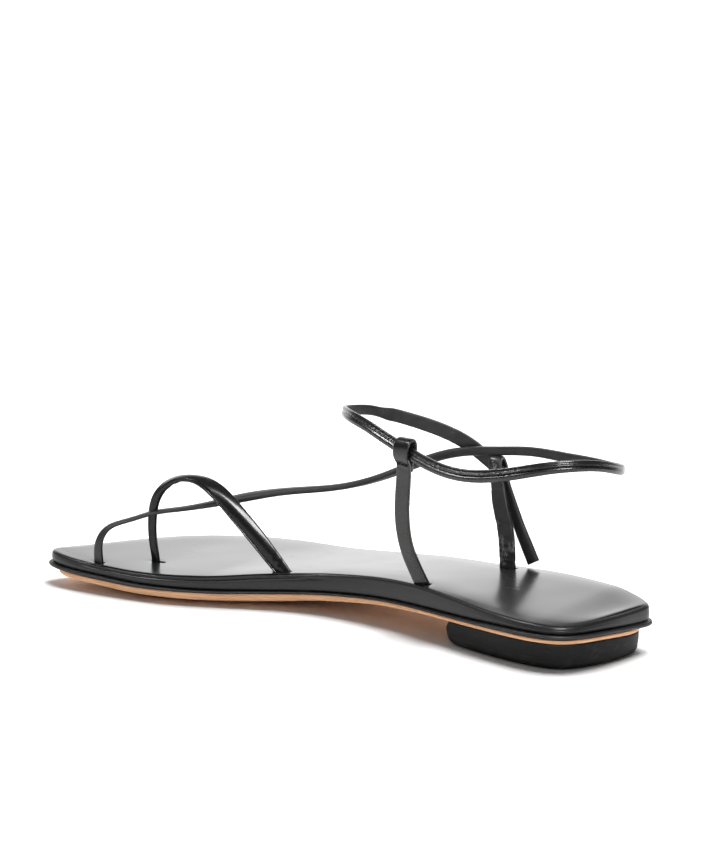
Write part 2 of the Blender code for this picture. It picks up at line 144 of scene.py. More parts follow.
# The outsole's lower edge, the thickness of the layers that vary, and the belly's drop, from heel to toe.
PROFILE = (
    # along, ground, outsole, footbed, belly
    (0.0, 10.4, 1.5, 7.0, 0.0),
    (35.0, 10.3, 1.5, 7.4, 0.0),
    (70.0, 9.6, 1.4, 7.8, 0.0),
    (100.0, 8.5, 1.7, 7.6, 0.3),
    (130.0, 5.8, 2.3, 7.0, 1.1),
    (158.0, 3.3, 2.8, 6.2, 2.2),
    (182.0, 2.5, 2.7, 5.6, 2.5),
    (206.0, 2.5, 2.6, 5.3, 2.5),
    (232.0, 3.6, 2.2, 5.2, 1.9),
    (258.0, 5.1, 1.8, 5.2, 0.8),
)

# Thickness of the welt's lip, thinnest along the waist, from heel to toe.
WELT_LIP = (
    # along, thick
    (0.0, 1.5),
    (30.0, 1.5),
    (60.0, 1.0),
    (100.0, 0.7),
    (150.0, 0.7),
    (190.0, 0.9),
    (225.0, 1.3),
    (258.0, 1.5),
)

# How far the padded top falls toward its rim, from heel to toe.
RIM_FALL = (
    # along, fall
    (0.0, 0.6),
    (60.0, 0.7),
    (110.0, 0.6),
    (150.0, 0.35),
    (200.0, 0.25),
    (258.0, 0.35),
)

# How far the padded top leans down toward the inner edge, and how far all of it drops, from heel to toe.
TOP_LEAN = (
    # along, lean, drop
    (0.0, 3.0, 1.2),
    (10.0, 3.3, 0.7),
    (25.0, 3.3, 0.1),
    (45.0, 2.9, 0.0),
    (65.0, 1.5, 0.0),
    (88.0, 0.0, 0.0),
    (155.0, 0.0, 0.0),
    (182.0, 1.0, -0.4),
    (228.0, 1.1, -0.5),
    (258.0, 0.4, -0.2),
)
LEVEL_ACROSS = -13.0
LEAN_REACH = 40.0

# Creases pressed along the inner rim at the ball, where the cover is folded over the padding.
RIM_CREASES = (
    # from along, to along, below the top, depth, reach
    (146.0, 226.0, 1.9, 0.5, 0.35),
    (150.0, 222.0, 0.3, 0.85, 0.2),
)

# Faint waves of the padding under the cover, and where its small puffs lie.
PAD_WAVES = (
    # height, turn along, turn across
    (0.035, 9.0, 21.0),
    (0.03, -31.0, 6.5),
)
PUFF_HEIGHT = 0.018
PUFF_ALONG = 4.1
PUFF_ACROSS = 4.7
PUFF_START = 1.3

# How the welt's hand-trimmed lip wanders in and out, and up and down, as shares of its wobble.
WELT_WANDERS = (
    # share, turn along, start
    (0.625, 7.3, 0.0),
    (0.375, 3.1, 1.0),
)
WELT_RISE = 0.4
WELT_RISE_ALONG = 11.0

# Rings of the heel block from the floor up: the front bulges and tucks under, the sides taper in a little.
BLOCK_RINGS = (
    # share of height, front along, taper share
    (0.0, 67.0, 1.6),
    (0.12, 69.5, 1.0),
    (0.35, 71.2, 0.6),
    (0.65, 71.5, 0.2),
    (1.0, 69.8, 0.0),
)

# Strap centre lines. The broad face looks "facing" degrees from toe to inner side and "lift" above level.
VAMP_STRAP = (
    # along, across, up, width, thick, facing, lift
    (212.5, 26.5, 8.5, 3.5, 2.0, 95.0, 0.0),
    (212.5, 26.5, 12.5, 3.5, 2.0, 95.0, 0.0),
    (214.0, 26.5, 21.5, 3.6, 2.2, 95.0, 5.0),
    (214.0, 26.5, 30.5, 3.9, 2.5, 95.0, 12.0),
    (212.3, 26.3, 38.0, 4.0, 2.7, 96.0, 30.0),
    (207.3, 25.6, 44.4, 4.2, 2.8, 97.0, 58.0),
    (199.0, 24.4, 48.4, 5.2, 2.5, 98.0, 82.0),
    (190.5, 23.0, 48.2, 6.2, 2.2, 98.0, 70.0),
    (182.2, 21.6, 43.7, 6.9, 2.4, 98.0, 48.0),
    (173.3, 20.0, 35.4, 7.1, 2.6, 98.0, 30.0),
    (164.0, 18.2, 25.9, 7.0, 2.6, 98.0, 20.0),
    (156.5, 16.6, 17.5, 6.5, 2.4, 98.0, 12.0),
    (153.6, 16.0, 14.3, 6.1, 2.2, 98.0, 8.0),
    (150.9, 15.5, 10.8, 5.9, 2.2, 98.0, 5.0),
)
TOE_STRAP = (
    # along, across, up, width, thick, facing, lift
    (230.0, 41.7, 9.0, 4.4, 1.8, 90.0, 0.0),
    (230.0, 42.0, 13.5, 4.4, 1.8, 90.0, 0.0),
    (229.2, 42.8, 19.5, 3.8, 1.7, 90.0, 10.0),
    (227.8, 42.0, 23.9, 3.3, 1.6, 90.0, 35.0),
    (225.2, 39.5, 27.3, 3.0, 1.5, 90.0, 65.0),
    (219.0, 33.8, 30.0, 3.0, 1.5, 90.0, 78.0),
    (212.0, 28.2, 32.7, 3.3, 1.6, 90.0, 80.0),
    (203.0, 23.0, 34.5, 3.2, 1.7, 80.0, 80.0),
    (192.0, 17.7, 37.0, 3.8, 2.2, 60.0, 74.0),
    (179.0, 10.0, 40.5, 5.4, 2.8, 60.0, 66.0),
    (164.0, 0.5, 43.5, 5.0, 2.8, 30.0, 78.0),
    (147.0, -9.5, 45.7, 4.8, 2.7, -20.0, 78.0),
    (130.0, -18.8, 50.9, 4.6, 2.6, -45.0, 60.0),
    (112.0, -26.5, 59.3, 4.4, 2.4, -62.0, 40.0),
    (97.0, -30.0, 63.8, 4.0, 2.2, -75.0, 22.0),
    (82.0, -31.6, 65.8, 3.8, 2.0, -86.0, 12.0),
    (66.0, -32.3, 67.5, 3.9, 2.0, -92.0, 8.0),
    (50.0, -31.8, 67.5, 4.2, 2.1, -98.0, 5.0),
    (35.0, -29.0, 68.0, 4.2, 2.2, -108.0, 3.0),
    (21.8, -24.0, 68.7, 4.2, 2.3, -124.0, 0.0),
    (13.2, -16.5, 70.5, 4.2, 2.4, -145.0, 0.0),
    (8.4, -6.5, 72.9, 4.2, 2.4, -172.0, 0.0),
    (8.2, 4.5, 76.0, 4.2, 2.4, -197.0, 0.0),
    (12.5, 13.7, 77.3, 4.5, 2.5, -225.0, 0.0),
    (22.0, 20.8, 76.3, 4.8, 2.5, -245.0, 0.0),
    (34.0, 25.2, 73.5, 5.0, 2.5, -258.0, 0.0),
    (50.0, 27.4, 70.5, 5.0, 2.5, -266.0, 0.0),
    (63.0, 28.0, 70.5, 5.0, 2.5, -270.0, 0.0),
    (74.0, 27.9, 72.7, 5.0, 2.5, -272.0, 0.0),
    (83.5, 27.3, 75.8, 5.0, 2.5, -275.0, 0.0),
)
ANKLE_STRAP = (
    # along, across, up, width, thick, facing, lift
    (83.5, 27.3, 75.8, 5.0, 2.5, 85.0, 0.0),
    (95.0, 26.0, 79.4, 4.9, 2.4, 80.0, 2.0),
    (106.0, 23.6, 82.5, 4.8, 2.3, 70.0, 6.0),
    (117.0, 19.2, 83.9, 4.6, 2.2, 58.0, 10.0),
    (126.2, 11.2, 83.4, 4.2, 2.1, 38.0, 10.0),
    (131.2, 1.5, 81.7, 4.1, 2.0, 8.0, 6.0),
    (130.5, -11.0, 79.6, 4.2, 2.0, -25.0, 4.0),
    (128.6, -15.6, 78.2, 4.3, 2.0, -36.0, 3.0),
    (126.6, -18.6, 77.2, 5.3, 1.8, -43.0, 2.0),
    (125.0, -20.5, 76.6, 5.4, 1.8, -48.0, 2.0),
    (116.5, -26.3, 73.7, 5.6, 1.7, -62.0, 0.0),
    (107.0, -30.3, 70.5, 5.8, 1.7, -72.0, 0.0),
    (97.5, -32.6, 66.5, 6.0, 1.7, -82.0, 0.0),
    (88.5, -32.8, 61.7, 6.0, 1.7, -92.0, 0.0),
    (81.5, -31.4, 57.8, 5.8, 1.7, -96.0, 0.0),
    (77.5, -30.4, 52.5, 5.4, 1.8, -96.0, 0.0),
    (73.8, -29.9, 45.0, 5.4, 2.1, -94.0, 0.0),
    (70.0, -29.6, 37.0, 5.5, 2.4, -92.0, 0.0),
    (66.3, -29.5, 30.0, 5.7, 2.5, -90.0, 0.0),
    (62.8, -29.5, 23.3, 5.8, 2.5, -90.0, 0.0),
)
INNER_POST = (
    # along, across, up, width, thick, facing, lift
    (84.2, 12.6, 16.5, 6.0, 1.8, 95.0, 0.0),
    (85.3, 14.5, 20.5, 6.1, 1.8, 95.0, 0.0),
    (87.9, 17.3, 29.0, 6.1, 1.8, 95.0, -8.0),
    (89.3, 19.8, 37.0, 6.1, 1.8, 95.0, -10.0),
    (89.3, 22.0, 46.5, 6.2, 1.8, 95.0, -10.0),
    (88.0, 23.8, 55.5, 6.3, 1.8, 94.0, -8.0),
    (86.2, 25.4, 64.5, 6.4, 1.7, 92.0, -6.0),
    (85.5, 26.2, 68.0, 6.4, 1.6, 91.0, -10.0),
    (85.1, 27.0, 70.4, 6.4, 1.5, 90.0, -22.0),
    (84.7, 29.2, 73.2, 6.9, 1.4, 88.0, -20.0),
    (84.3, 29.9, 76.4, 7.3, 1.4, 87.0, 5.0),
    (84.0, 29.0, 79.4, 7.3, 1.4, 86.0, 48.0),
    (83.8, 27.2, 80.4, 7.2, 1.4, 86.0, 90.0),
    (83.8, 25.4, 79.4, 7.2, 1.4, 86.0, 132.0),
    (83.9, 24.6, 76.4, 7.0, 1.4, 86.0, 176.0),
    (84.3, 24.8, 73.2, 6.6, 1.4, 86.0, 186.0),
    (84.8, 25.2, 70.4, 6.2, 1.3, 86.0, 186.0),
    (85.2, 24.6, 67.8, 5.8, 1.3, 86.0, 176.0),
)
OUTER_POST = (
    # along, across, up, width, thick, facing, lift
    (71.5, -24.0, 17.0, 7.2, 1.9, -92.0, 0.0),
    (71.5, -24.0, 21.0, 7.2, 1.9, -92.0, 0.0),
    (71.9, -24.0, 29.0, 7.5, 1.9, -92.0, 0.0),
    (73.0, -24.3, 36.5, 7.5, 1.9, -92.0, 0.0),
    (75.7, -25.2, 44.0, 7.5, 1.9, -93.0, 0.0),
    (78.0, -26.7, 49.2, 7.2, 1.7, -94.0, -6.0),
    (79.5, -28.0, 52.6, 6.8, 1.5, -95.0, -4.0),
    (80.9, -28.7, 55.6, 6.0, 1.3, -95.0, 0.0),
    (81.8, -29.0, 58.9, 6.0, 1.3, -95.0, -10.0),
    (82.3, -30.0, 62.2, 6.0, 1.3, -95.0, -50.0),
    (82.6, -31.7, 63.4, 6.0, 1.3, -95.0, -90.0),
    (82.5, -33.4, 62.2, 6.0, 1.3, -95.0, -130.0),
    (82.0, -34.3, 58.8, 6.0, 1.3, -95.0, -176.0),
    (81.2, -33.8, 55.4, 6.0, 1.3, -95.0, -195.0),
    (80.0, -31.8, 52.8, 6.0, 1.3, -95.0, -205.0),
    (79.2, -30.2, 50.8, 6.0, 1.3, -95.0, -190.0),
)

# Columns of a strap table.
ALONG, WIDTH, THICK, FACING, LIFT = 0, 3, 4, 5, 6

# Cross relief of a strap's outer face, from its lower edge to its upper edge as the strap is worn.
PLAIN_FACE = (
    # across share, share of full height
    (-1.0, 1.0),
    (1.0, 1.0),
)
SEAMED_FACE = (
    # across share, share of full height
    (-1.0, 1.0),
    (-0.45, 1.0),
    (-0.2, 0.88),
    (-0.05, 0.6),
    (0.04, 0.48),
    (0.13, 0.62),
    (0.22, 0.95),
    (0.31, 1.06),
    (0.4, 0.95),
    (0.5, 0.62),
    (0.6, 0.5),
    (1.0, 0.5),
)
BOUND_FACE = (
    # across share, share of full height
    (-1.0, 0.4),
    (-0.9, 0.5),
    (-0.15, 1.0),
    (0.0, 1.02),
    (0.62, 0.8),
    (0.74, 0.45),
    (0.86, 0.8),
    (1.0, 0.9),
)

# How a strap's section changes along it: squareness 1 is round and 0 is a sharp rectangle.
VAMP_STRETCHES = (
    # from run, squareness, face
    (0.0, 0.6, PLAIN_FACE),
    (40.0, 0.75, PLAIN_FACE),
    (60.0, 0.55, BOUND_FACE),
)
TOE_STRETCHES = (
    # from run, squareness, face
    (0.0, 0.66, PLAIN_FACE),
    (262.0, 0.7, PLAIN_FACE),
    (282.0, 0.7, SEAMED_FACE),
)
ANKLE_STRETCHES = (
    # from run, squareness, face
    (36.0, 0.7, SEAMED_FACE),
    (50.0, 0.66, PLAIN_FACE),
    (72.0, 0.62, PLAIN_FACE),
    (80.0, 0.38, PLAIN_FACE),
    (136.0, 0.38, PLAIN_FACE),
    (146.0, 0.85, PLAIN_FACE),
)
POST_STRETCHES = (
    # from run, squareness, face
    (0.0, 0.36, PLAIN_FACE),
)
THREAD_STRETCHES = (
    # from run, squareness, face
    (0.0, 1.0, PLAIN_FACE),
)

# Slits in the footbed that the strap ends go through, longer than the straps on their heel side.
SLOTS = (
    # strap, from its far end, how much longer
    (VAMP_STRAP, False, 3.4),
    (VAMP_STRAP, True, 0.6),
    (TOE_STRAP, False, 1.2),
    (INNER_POST, False, 1.2),
    (OUTER_POST, False, 1.6),
)
SLOT_SHIFT = 0.3
SLOT_EASE = 0.5

# Runs between which stitches gather the ankle strap's seam, their fade, and their reach across the strap.
TOE_GATHERS = (322.0, 372.0)
ANKLE_GATHERS = (0.0, 36.0)
GATHER_FADE = 8.0
GATHER_REACH = 0.16

# The run up to which the toe strap is dull outside too, and how softly it turns glossy.
TOE_DULL_TO = 190.0
DULL_FADE = 40.0

# Where the thread crosses the fold of the inner post, as run and shares across, and how a stitch arches.
CRIMP_RUN = 57.2
CRIMP_STITCHES = (-0.55, 0.0, 0.55)
STITCH_ARCH = (
    # share of half length, rise in thread radii
    (-1.0, -0.9),
    (-0.6, -0.1),
    (0.0, 0.25),
    (0.6, -0.1),
    (1.0, -0.9),
)

# Soft troughs across the straps. "side" is 1 on the outer face, -1 on the face toward the foot.
POST_CREASES = (
    # run, side, depth, reach, slant
    (6.2, -1, 0.22, 0.5, 0.1),
    (8.0, -1, 0.28, 0.45, -0.15),
    (9.9, -1, 0.2, 0.5, 0.2),
    (12.4, -1, 0.24, 0.6, -0.1),
    (15.6, -1, 0.16, 0.7, 0.25),
    (21.8, -1, 0.3, 0.9, 0.2),
    (29.0, -1, 0.12, 1.2, -0.2),
    (36.6, -1, 0.25, 0.6, 0.1),
    (43.5, -1, 0.3, 0.5, 0.5),
    (45.8, -1, 0.25, 0.5, 0.4),
    (7.4, 1, 0.2, 0.6, 0.2),
    (12.0, 1, 0.16, 0.8, -0.2),
    (22.0, 1, 0.2, 1.0, 0.15),
)
INNER_POST_CREASES = (
    # run, side, depth, reach, slant
    (5.6, 1, 0.12, 0.7, 0.1),
    (57.2, 1, 0.32, 0.5, 0.05),
    (55.2, 1, 0.14, 0.5, -0.1),
    (57.2, -1, 0.25, 0.5, 0.05),
)
VAMP_CREASES = (
    # run, side, depth, reach, slant
    (37.0, -1, 0.2, 1.4, 0.0),
    (42.0, -1, 0.25, 1.4, 0.1),
    (47.0, -1, 0.2, 1.4, -0.1),
    (100.0, 1, 0.16, 1.1, 0.2),
    (103.2, 1, 0.2, 0.9, -0.1),
)
WIDE_END_CREASES = (
    # run, side, depth, reach, slant
    (34.0, -1, 0.12, 0.9, 0.3),
    (52.0, -1, 0.2, 0.7, 0.25),
    (66.0, -1, 0.12, 0.9, -0.2),
    (79.0, -1, 0.3, 0.9, 0.4),
    (86.7, -1, 0.25, 0.7, -0.5),
    (93.0, -1, 0.14, 1.3, 0.3),
    (109.0, -1, 0.28, 0.9, 0.5),
    (124.0, 1, 0.12, 1.5, 0.3),
)

# Rubbed spots on the posts, where the finish has turned pale, and pale spots along the edge of the wide
# strap.
POST_SCUFFS = (
    # run, across share, side, reach, strength
    (7.0, 0.55, -1, 2.0, 0.9),
    (10.2, 0.2, -1, 1.9, 0.75),
    (12.6, -0.85, -1, 2.0, 0.8),
    (13.2, 0.9, -1, 2.4, 0.9),
    (16.0, 0.6, -1, 1.6, 0.6),
    (22.0, 0.95, -1, 1.8, 0.55),
    (42.4, 0.1, -1, 1.0, 0.9),
    (44.8, -0.2, -1, 1.2, 1.0),
    (47.4, 0.2, -1, 1.2, 0.8),
)
# Spots that make the wide strap paler along its edge.
WIDE_END_PALE_SPOTS = (
    # run, across share, side, reach, strength
    (78.0, 0.95, -1, 4.0, 0.15),
    (107.5, 0.95, -1, 3.0, 0.2),
)

# How far the rubbed spots wrap round a strap's edges.
SCUFF_WRAP = 0.6


def cubic(left, right, left_slope, right_slope, width, u):
    """A smooth passage from left to right with these slopes at its ends, at shares u of its width."""
    from_left = left * (1 + 2 * u) * (1 - u) ** 2 + left_slope * width * u * (1 - u) ** 2
    from_right = right * u * u * (3 - 2 * u) + right_slope * width * u * u * (u - 1)
    return from_left + from_right


def soften(share):
    """A share of 0..1 that starts and ends gently."""
    return share * share * (3 - 2 * share)


def spline(rows, closed=False, space=3):
    """A smooth cubic through the rows, as a function of shares 0..1; the first columns are its space."""
    rows = np.array(rows, float)
    if closed:
        rows = np.vstack([rows, rows[:1]])
    last = len(rows) - 1
    step = np.linalg.norm(np.diff(rows[:, :space], axis=0), axis=1) ** 0.5
    rise = np.diff(rows, axis=0) / step[:, None]
    knots = np.concatenate([[0.0], np.cumsum(step)])
    system = np.zeros((last + 1, last + 1))
    sums = np.zeros_like(rows)
    for i in range(1, last):
        system[i, i - 1 : i + 2] = 1 / step[i - 1], 2 / step[i - 1] + 2 / step[i], 1 / step[i]
        sums[i] = 3 * (rise[i - 1] / step[i - 1] + rise[i] / step[i])
    if closed:
        system[0, 0], system[0, last] = 1, -1
        system[last, last - 1] = 1 / step[-1]
        system[last, 0] = 2 / step[-1] + 2 / step[0]
        system[last, 1] = 1 / step[0]
        sums[last] = 3 * (rise[-1] / step[-1] + rise[0] / step[0])
    else:
        system[0, 0], system[0, 1] = 2, 1
        system[last, last], system[last, last - 1] = 2, 1
        sums[0], sums[last] = 3 * rise[0], 3 * rise[-1]
    slopes = np.linalg.solve(system, sums)

    def at(shares):
        place = np.clip(np.asarray(shares, float), 0, 1) * knots[-1]
        i = np.clip(np.searchsorted(knots, place, side="right") - 1, 0, last - 1)
        u = ((place - knots[i]) / step[i])[:, None]
        return cubic(rows[i], rows[i + 1], slopes[i], slopes[i + 1], step[i][:, None], u)

    return at


def level_curve(table, column):
    """A curve over the first column that never overshoots its rows, so that a level stretch stays level."""
    rows = np.array(table, float)
    place, value = rows[:, 0], rows[:, column]
    rise = np.diff(value) / np.diff(place)
    slope = np.zeros(len(rows))
    slope[0], slope[-1] = rise[0], rise[-1]
    for i in range(1, len(rows) - 1):
        if rise[i - 1] * rise[i] > 0:
            slope[i] = 2 * rise[i - 1] * rise[i] / (rise[i - 1] + rise[i])

    def at(along):
        along = np.clip(along, place[0], place[-1])
        i = np.clip(np.searchsorted(place, along, side="right") - 1, 0, len(place) - 2)
        width = place[i + 1] - place[i]
        u = (along - place[i]) / width
        return cubic(value[i], value[i + 1], slope[i], slope[i + 1], width, u)

    return at


ground = level_curve(PROFILE, 1)
outsole_thick = level_curve(PROFILE, 2)
footbed_thick = level_curve(PROFILE, 3)
belly = level_curve(PROFILE, 4)
welt_lip = level_curve(WELT_LIP, 1)
rim_fall = level_curve(RIM_FALL, 1)
top_lean = level_curve(TOP_LEAN, 1)
top_drop = level_curve(TOP_LEAN, 2)
block_front = level_curve(BLOCK_RINGS, 1)
block_taper = level_curve(BLOCK_RINGS, 2)


def outsole_top(along):
    return ground(along) + outsole_thick(along)


def welt_bottom(along):
    return outsole_top(along) + GAP


def footbed_bottom(along):
    """The cover's foot, which comes down to the welt's lip."""
    return welt_bottom(along) + welt_lip(along) + GAP


def footbed_rim(along):
    """Height of the padded top where it meets its rolled rim."""
    return welt_bottom(along) + WELT_THICK + GAP + footbed_thick(along) - rim_fall(along) / 2


def plan_halves():
    """The plan's inner and outer halves, heel to toe: points and inward normals, closely spaced."""
    shares = np.linspace(0, 1, PLAN_POINTS, endpoint=False)
    points = spline([row[1:] for row in OUTLINE], closed=True, space=2)(shares)
    back, tip = points[:, 0].min(), points[:, 0].max()
    points[:, 0] = (points[:, 0] - back) * LENGTH / (tip - back)
    forward = np.roll(points, -1, axis=0) - np.roll(points, 1, axis=0)
    forward /= np.linalg.norm(forward, axis=1)[:, None]
    inward = np.stack([forward[:, 1], -forward[:, 0]], axis=1)
    start = int(points[:, 0].argmin())
    points, inward = np.roll(points, -start, axis=0), np.roll(inward, -start, axis=0)
    turn = int(points[:, 0].argmax()) + 1
    inner = points[:turn], inward[:turn]
    outer = points[turn:][::-1], inward[turn:][::-1]
    return inner, outer


PLAN_HALVES = plan_halves()
PLAN_LOW = min(points[:, 1].min() for points, _ in PLAN_HALVES)
WELT_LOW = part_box("welt")[0]
SHIFT = np.array([WELT_LOW.x, WELT_LOW.y - PLAN_LOW * MM, 0.0])


def to_frame(points):
    """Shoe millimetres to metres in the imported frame."""
    return np.asarray(points) * MM + SHIFT


def tuck_at(x, y):
    """How far the outsole and the block draw in near the tucked corners."""
    tuck = np.zeros_like(x)
    for place, along, across in OUTLINE:
        if place in TUCKED_CORNERS:
            tuck += CORNER_TUCK * np.exp(-((x - along) ** 2 + (y - across) ** 2) / CORNER_REACH**2)
    return tuck


def plan_at(along, inset, tucked=False):
    """Points of the inner and the outer edge at these stations, moved in by inset."""
    edges = []
    for points, inward in PLAN_HALVES:
        columns = [np.interp(along, points[:, 0], source) for source in (*points.T, *inward.T)]
        x, y, nx, ny = columns
        move = (inset + tuck_at(x, y) * tucked) / np.hypot(nx, ny)
        edges.append(np.stack([x + move * nx, y + move * ny], axis=1))
    return edges


def spread(last, count):
    """Stations from the back of the heel to the last one, closer together toward both ends."""
    share = (1 - np.cos(np.linspace(0, math.pi, count + 1))) / 2
    return END_MARGIN + (last - END_MARGIN) * share


def full_length(settings):
    """Stations of a layer that runs from heel to toe."""
    return spread(LENGTH - END_MARGIN, settings.stations)


def smooth_window(value, first, last, fade):
    """1 between first and last, falling softly to 0 within the fade outside them."""
    rise = np.clip((value - first + fade) / fade, 0, 1)
    fall = np.clip((last + fade - value) / fade, 0, 1)
    return soften(np.minimum(rise, fall))


def link(obj):
    bpy.context.scene.collection.objects.link(obj)
    return obj


def make_piece(name, vertices, faces, values=None):
    """A smooth mesh object from shoe millimetres, with named values at its points."""
    mesh = bpy.data.meshes.new(name)
    mesh.from_pydata(to_frame(vertices).tolist(), [], faces)
    for key, numbers in (values or {}).items():
        attribute = mesh.attributes.new(key, "FLOAT", "POINT")
        attribute.data.foreach_set("value", np.asarray(numbers, np.float32))
    bm = bmesh.new()
    bm.from_mesh(mesh)
    bmesh.ops.recalc_face_normals(bm, faces=bm.faces)
    bm.to_mesh(mesh)
    bm.free()
    mesh.shade_smooth()
    return link(bpy.data.objects.new(name, mesh))


def ring_faces(ring_count, size):
    """Quads between rings that follow each other in the vertex list."""
    faces = []
    for ring in range(ring_count - 1):
        below, above = ring * size, (ring + 1) * size
        for i in range(size):
            j = (i + 1) % size
            faces.append((below + i, below + j, above + j, above + i))
    return faces


def across_grid(ring, first, fresh, columns, height):
    """New points and faces that fill a sole ring from its inner to its outer edge.

    "first" is the index of the ring's first vertex, "fresh" that of the first new one, and height gives the
    rise of a point from its place and its distance to the nearer edge.
    """
    half = len(ring) // 2
    rows = [[first, first + len(ring) - 1]]
    points = []
    shares = np.linspace(0, 1, columns + 1)[1:-1]
    for i in range(1, half - 1):
        inner, outer = ring[i], ring[-1 - i]
        line = inner + np.outer(shares, outer - inner)
        edge = np.minimum(shares, 1 - shares) * np.linalg.norm(outer - inner)
        line[:, 2] += height(line, edge)
        start = fresh + len(points)
        points.extend(line)
        rows.append([first + i, *range(start, start + len(line)), first + len(ring) - 1 - i])
    rows.append([first + half - 1, first + half])
    faces = []
    for before, after in zip(rows[:-1], rows[1:]):
        if len(before) == len(after):
            for column in range(columns):
                faces.append((before[column], before[column + 1], after[column + 1], after[column]))
        else:
            faces.append((*before, *after[::-1]))
    return points, faces


def level(line, edge):
    return np.zeros(len(line))


def belly_drop(line, edge):
    """The outsole's underside bellies down from its edge to a level middle."""
    inside = np.minimum(edge / BELLY_REACH, 1)
    return -belly(line[:, 0]) * (1 - (1 - inside) ** 2)


def sole_layer(name, rings, under_columns, top_columns, under_height=level, top_height=level):
    """A closed sole layer from its rings, bottom to top, with its underside and top filled across."""
    size = len(rings[0])
    vertices = [point for ring in rings for point in ring]
    faces = ring_faces(len(rings), size)
    under_points, under_faces = across_grid(rings[0], 0, len(vertices), under_columns, under_height)
    vertices += under_points
    last = (len(rings) - 1) * size
    top_points, top_faces = across_grid(rings[-1], last, len(vertices), top_columns, top_height)
    vertices += top_points
    return make_piece(name, np.array(vertices), faces + under_faces + top_faces)


def corner_sag(flat):
    """How far the sole sinks at its outer back corner."""
    near = np.clip(1 - flat[:, 0] / SAG_ALONG, 0, 1)
    outer = np.clip((SAG_FROM - flat[:, 1]) / SAG_ACROSS, 0, 1)
    return CORNER_SAG * soften(near) * soften(outer)


def sole_ring(along, inset, height, tucked=False, inner_inset=0.0, sag=1.0):
    """One closed ring round the sole: the inner edge heel to toe, then the outer edge back to the heel."""
    inner = plan_at(along, inset + inner_inset, tucked)[0]
    outer = plan_at(along, inset, tucked)[1]
    flat = np.vstack([inner, outer[::-1]])
    return np.column_stack([flat, height(flat[:, 0]) - corner_sag(flat) * sag])


def rim_crease(along, below):
    """How far the inner wall is pressed in at this depth below the top."""
    pressed = np.zeros_like(along)
    for first, last, centre, depth, reach in RIM_CREASES:
        window = smooth_window(along, first, last, RIM_CREASE_FADE)
        pressed += depth * math.exp(-(((below - centre) / reach) ** 2)) * window
    return pressed


def slot_dip(line):
    """How far the cover is drawn down round the slots that take the strap ends."""
    dip = np.zeros(len(line))
    for rows in (VAMP_STRAP, TOE_STRAP, INNER_POST, OUTER_POST):
        along, across, _, width, thick, facing, _ = rows[1]
        turn = math.radians(facing)
        x, y = line[:, 0] - along, line[:, 1] - across
        through = np.abs(x * math.cos(turn) + y * math.sin(turn))
        aside = np.abs(y * math.cos(turn) - x * math.sin(turn))
        away = np.hypot(np.maximum(through - thick / 2, 0), np.maximum(aside - width / 2, 0))
        dip += SLOT_DIP * np.exp(-((away / SLOT_DIP_REACH) ** 2))
    return dip


def pad_waves(line):
    """The faint unevenness of padding under a smooth cover."""
    x, y = line[:, 0], line[:, 1]
    waves = sum(height * np.sin(x / along + y / across) for height, along, across in PAD_WAVES)
    return waves + PUFF_HEIGHT * np.sin(x / PUFF_ALONG + PUFF_START) * np.sin(y / PUFF_ACROSS)


def footbed_rise(line, edge):
    """Rise of the padded top over its rim: a roll at the edge, dips at the slots and faint waves."""
    inside = np.clip(edge / RIM_REACH, 0, 1)
    roll = rim_fall(line[:, 0]) * (1 - (1 - inside) ** RIM_POWER)
    settled = smooth_window(edge, PAD_SETTLE, math.inf, PAD_SETTLE)
    return roll - slot_dip(line) + pad_waves(line) * settled


def rim_turn(along):
    """Angle through which the rolled rim turns before it meets the slope of the padded top."""
    return math.pi / 2 - np.arctan(RIM_POWER * rim_fall(along) / RIM_REACH)


def foot_ring(along, share):
    """A ring round the cover's foot, which turns under toward the welt."""
    turn = share * math.pi / 2
    inset = FOOTBED_INSET + FOOTBED_FOOT_ROUND * (1 - math.sin(turn))

    def height(x):
        return footbed_bottom(x) + FOOTBED_FOOT_ROUND * (1 - math.cos(turn))

    return sole_ring(along, inset, height)


def top_sink(ring):
    """How far the leaning top lies below a level one, round a ring."""
    lean = (ring[:, 1] - LEVEL_ACROSS) / LEAN_REACH
    return top_lean(ring[:, 0]) * lean + top_drop(ring[:, 0])


def wall_ring(along, share, strength):
    """A ring round the cover's upright wall, which swells a little."""
    inset = FOOTBED_INSET - WALL_SWELL * math.sin(math.pi * share)

    def height(x):
        low, high = footbed_bottom(x) + FOOTBED_FOOT_ROUND, footbed_rim(x) - FOOTBED_ROUND
        return low + (high - low) * share

    pressed = rim_crease(along, FOOTBED_ROUND + WALL_DEPTH * (1 - share)) * strength
    ring = sole_ring(along, inset, height, inner_inset=pressed)
    ring[:, 2] -= top_sink(ring) * share
    return ring


def rim_ring(along, share, strength):
    """A ring round the cover's rolled rim."""
    inset = FOOTBED_INSET + FOOTBED_ROUND * (1 - np.cos(rim_turn(along) * share))

    def height(x):
        return footbed_rim(x) - FOOTBED_ROUND * (1 - np.sin(rim_turn(x) * share))

    pressed = rim_crease(along, FOOTBED_ROUND * (1 - math.sin(share * math.pi / 2))) * strength
    ring = sole_ring(along, inset, height, inner_inset=pressed)
    ring[:, 2] -= top_sink(ring)
    return ring


def make_footbed(settings):
    """The padded insole with its rolled rim, before its slots are cut."""
    along = full_length(settings)
    rings = [foot_ring(along, share) for share in np.linspace(0, 1, FOOT_RINGS)]
    for make_ring, count in ((wall_ring, WALL_RINGS), (rim_ring, RIM_RINGS)):
        rings += [make_ring(along, share, settings.rim_crease) for share in np.linspace(0, 1, count)[1:]]
    return sole_layer("footbed_cover", rings, HIDDEN_COLUMNS, settings.columns, top_height=footbed_rise)


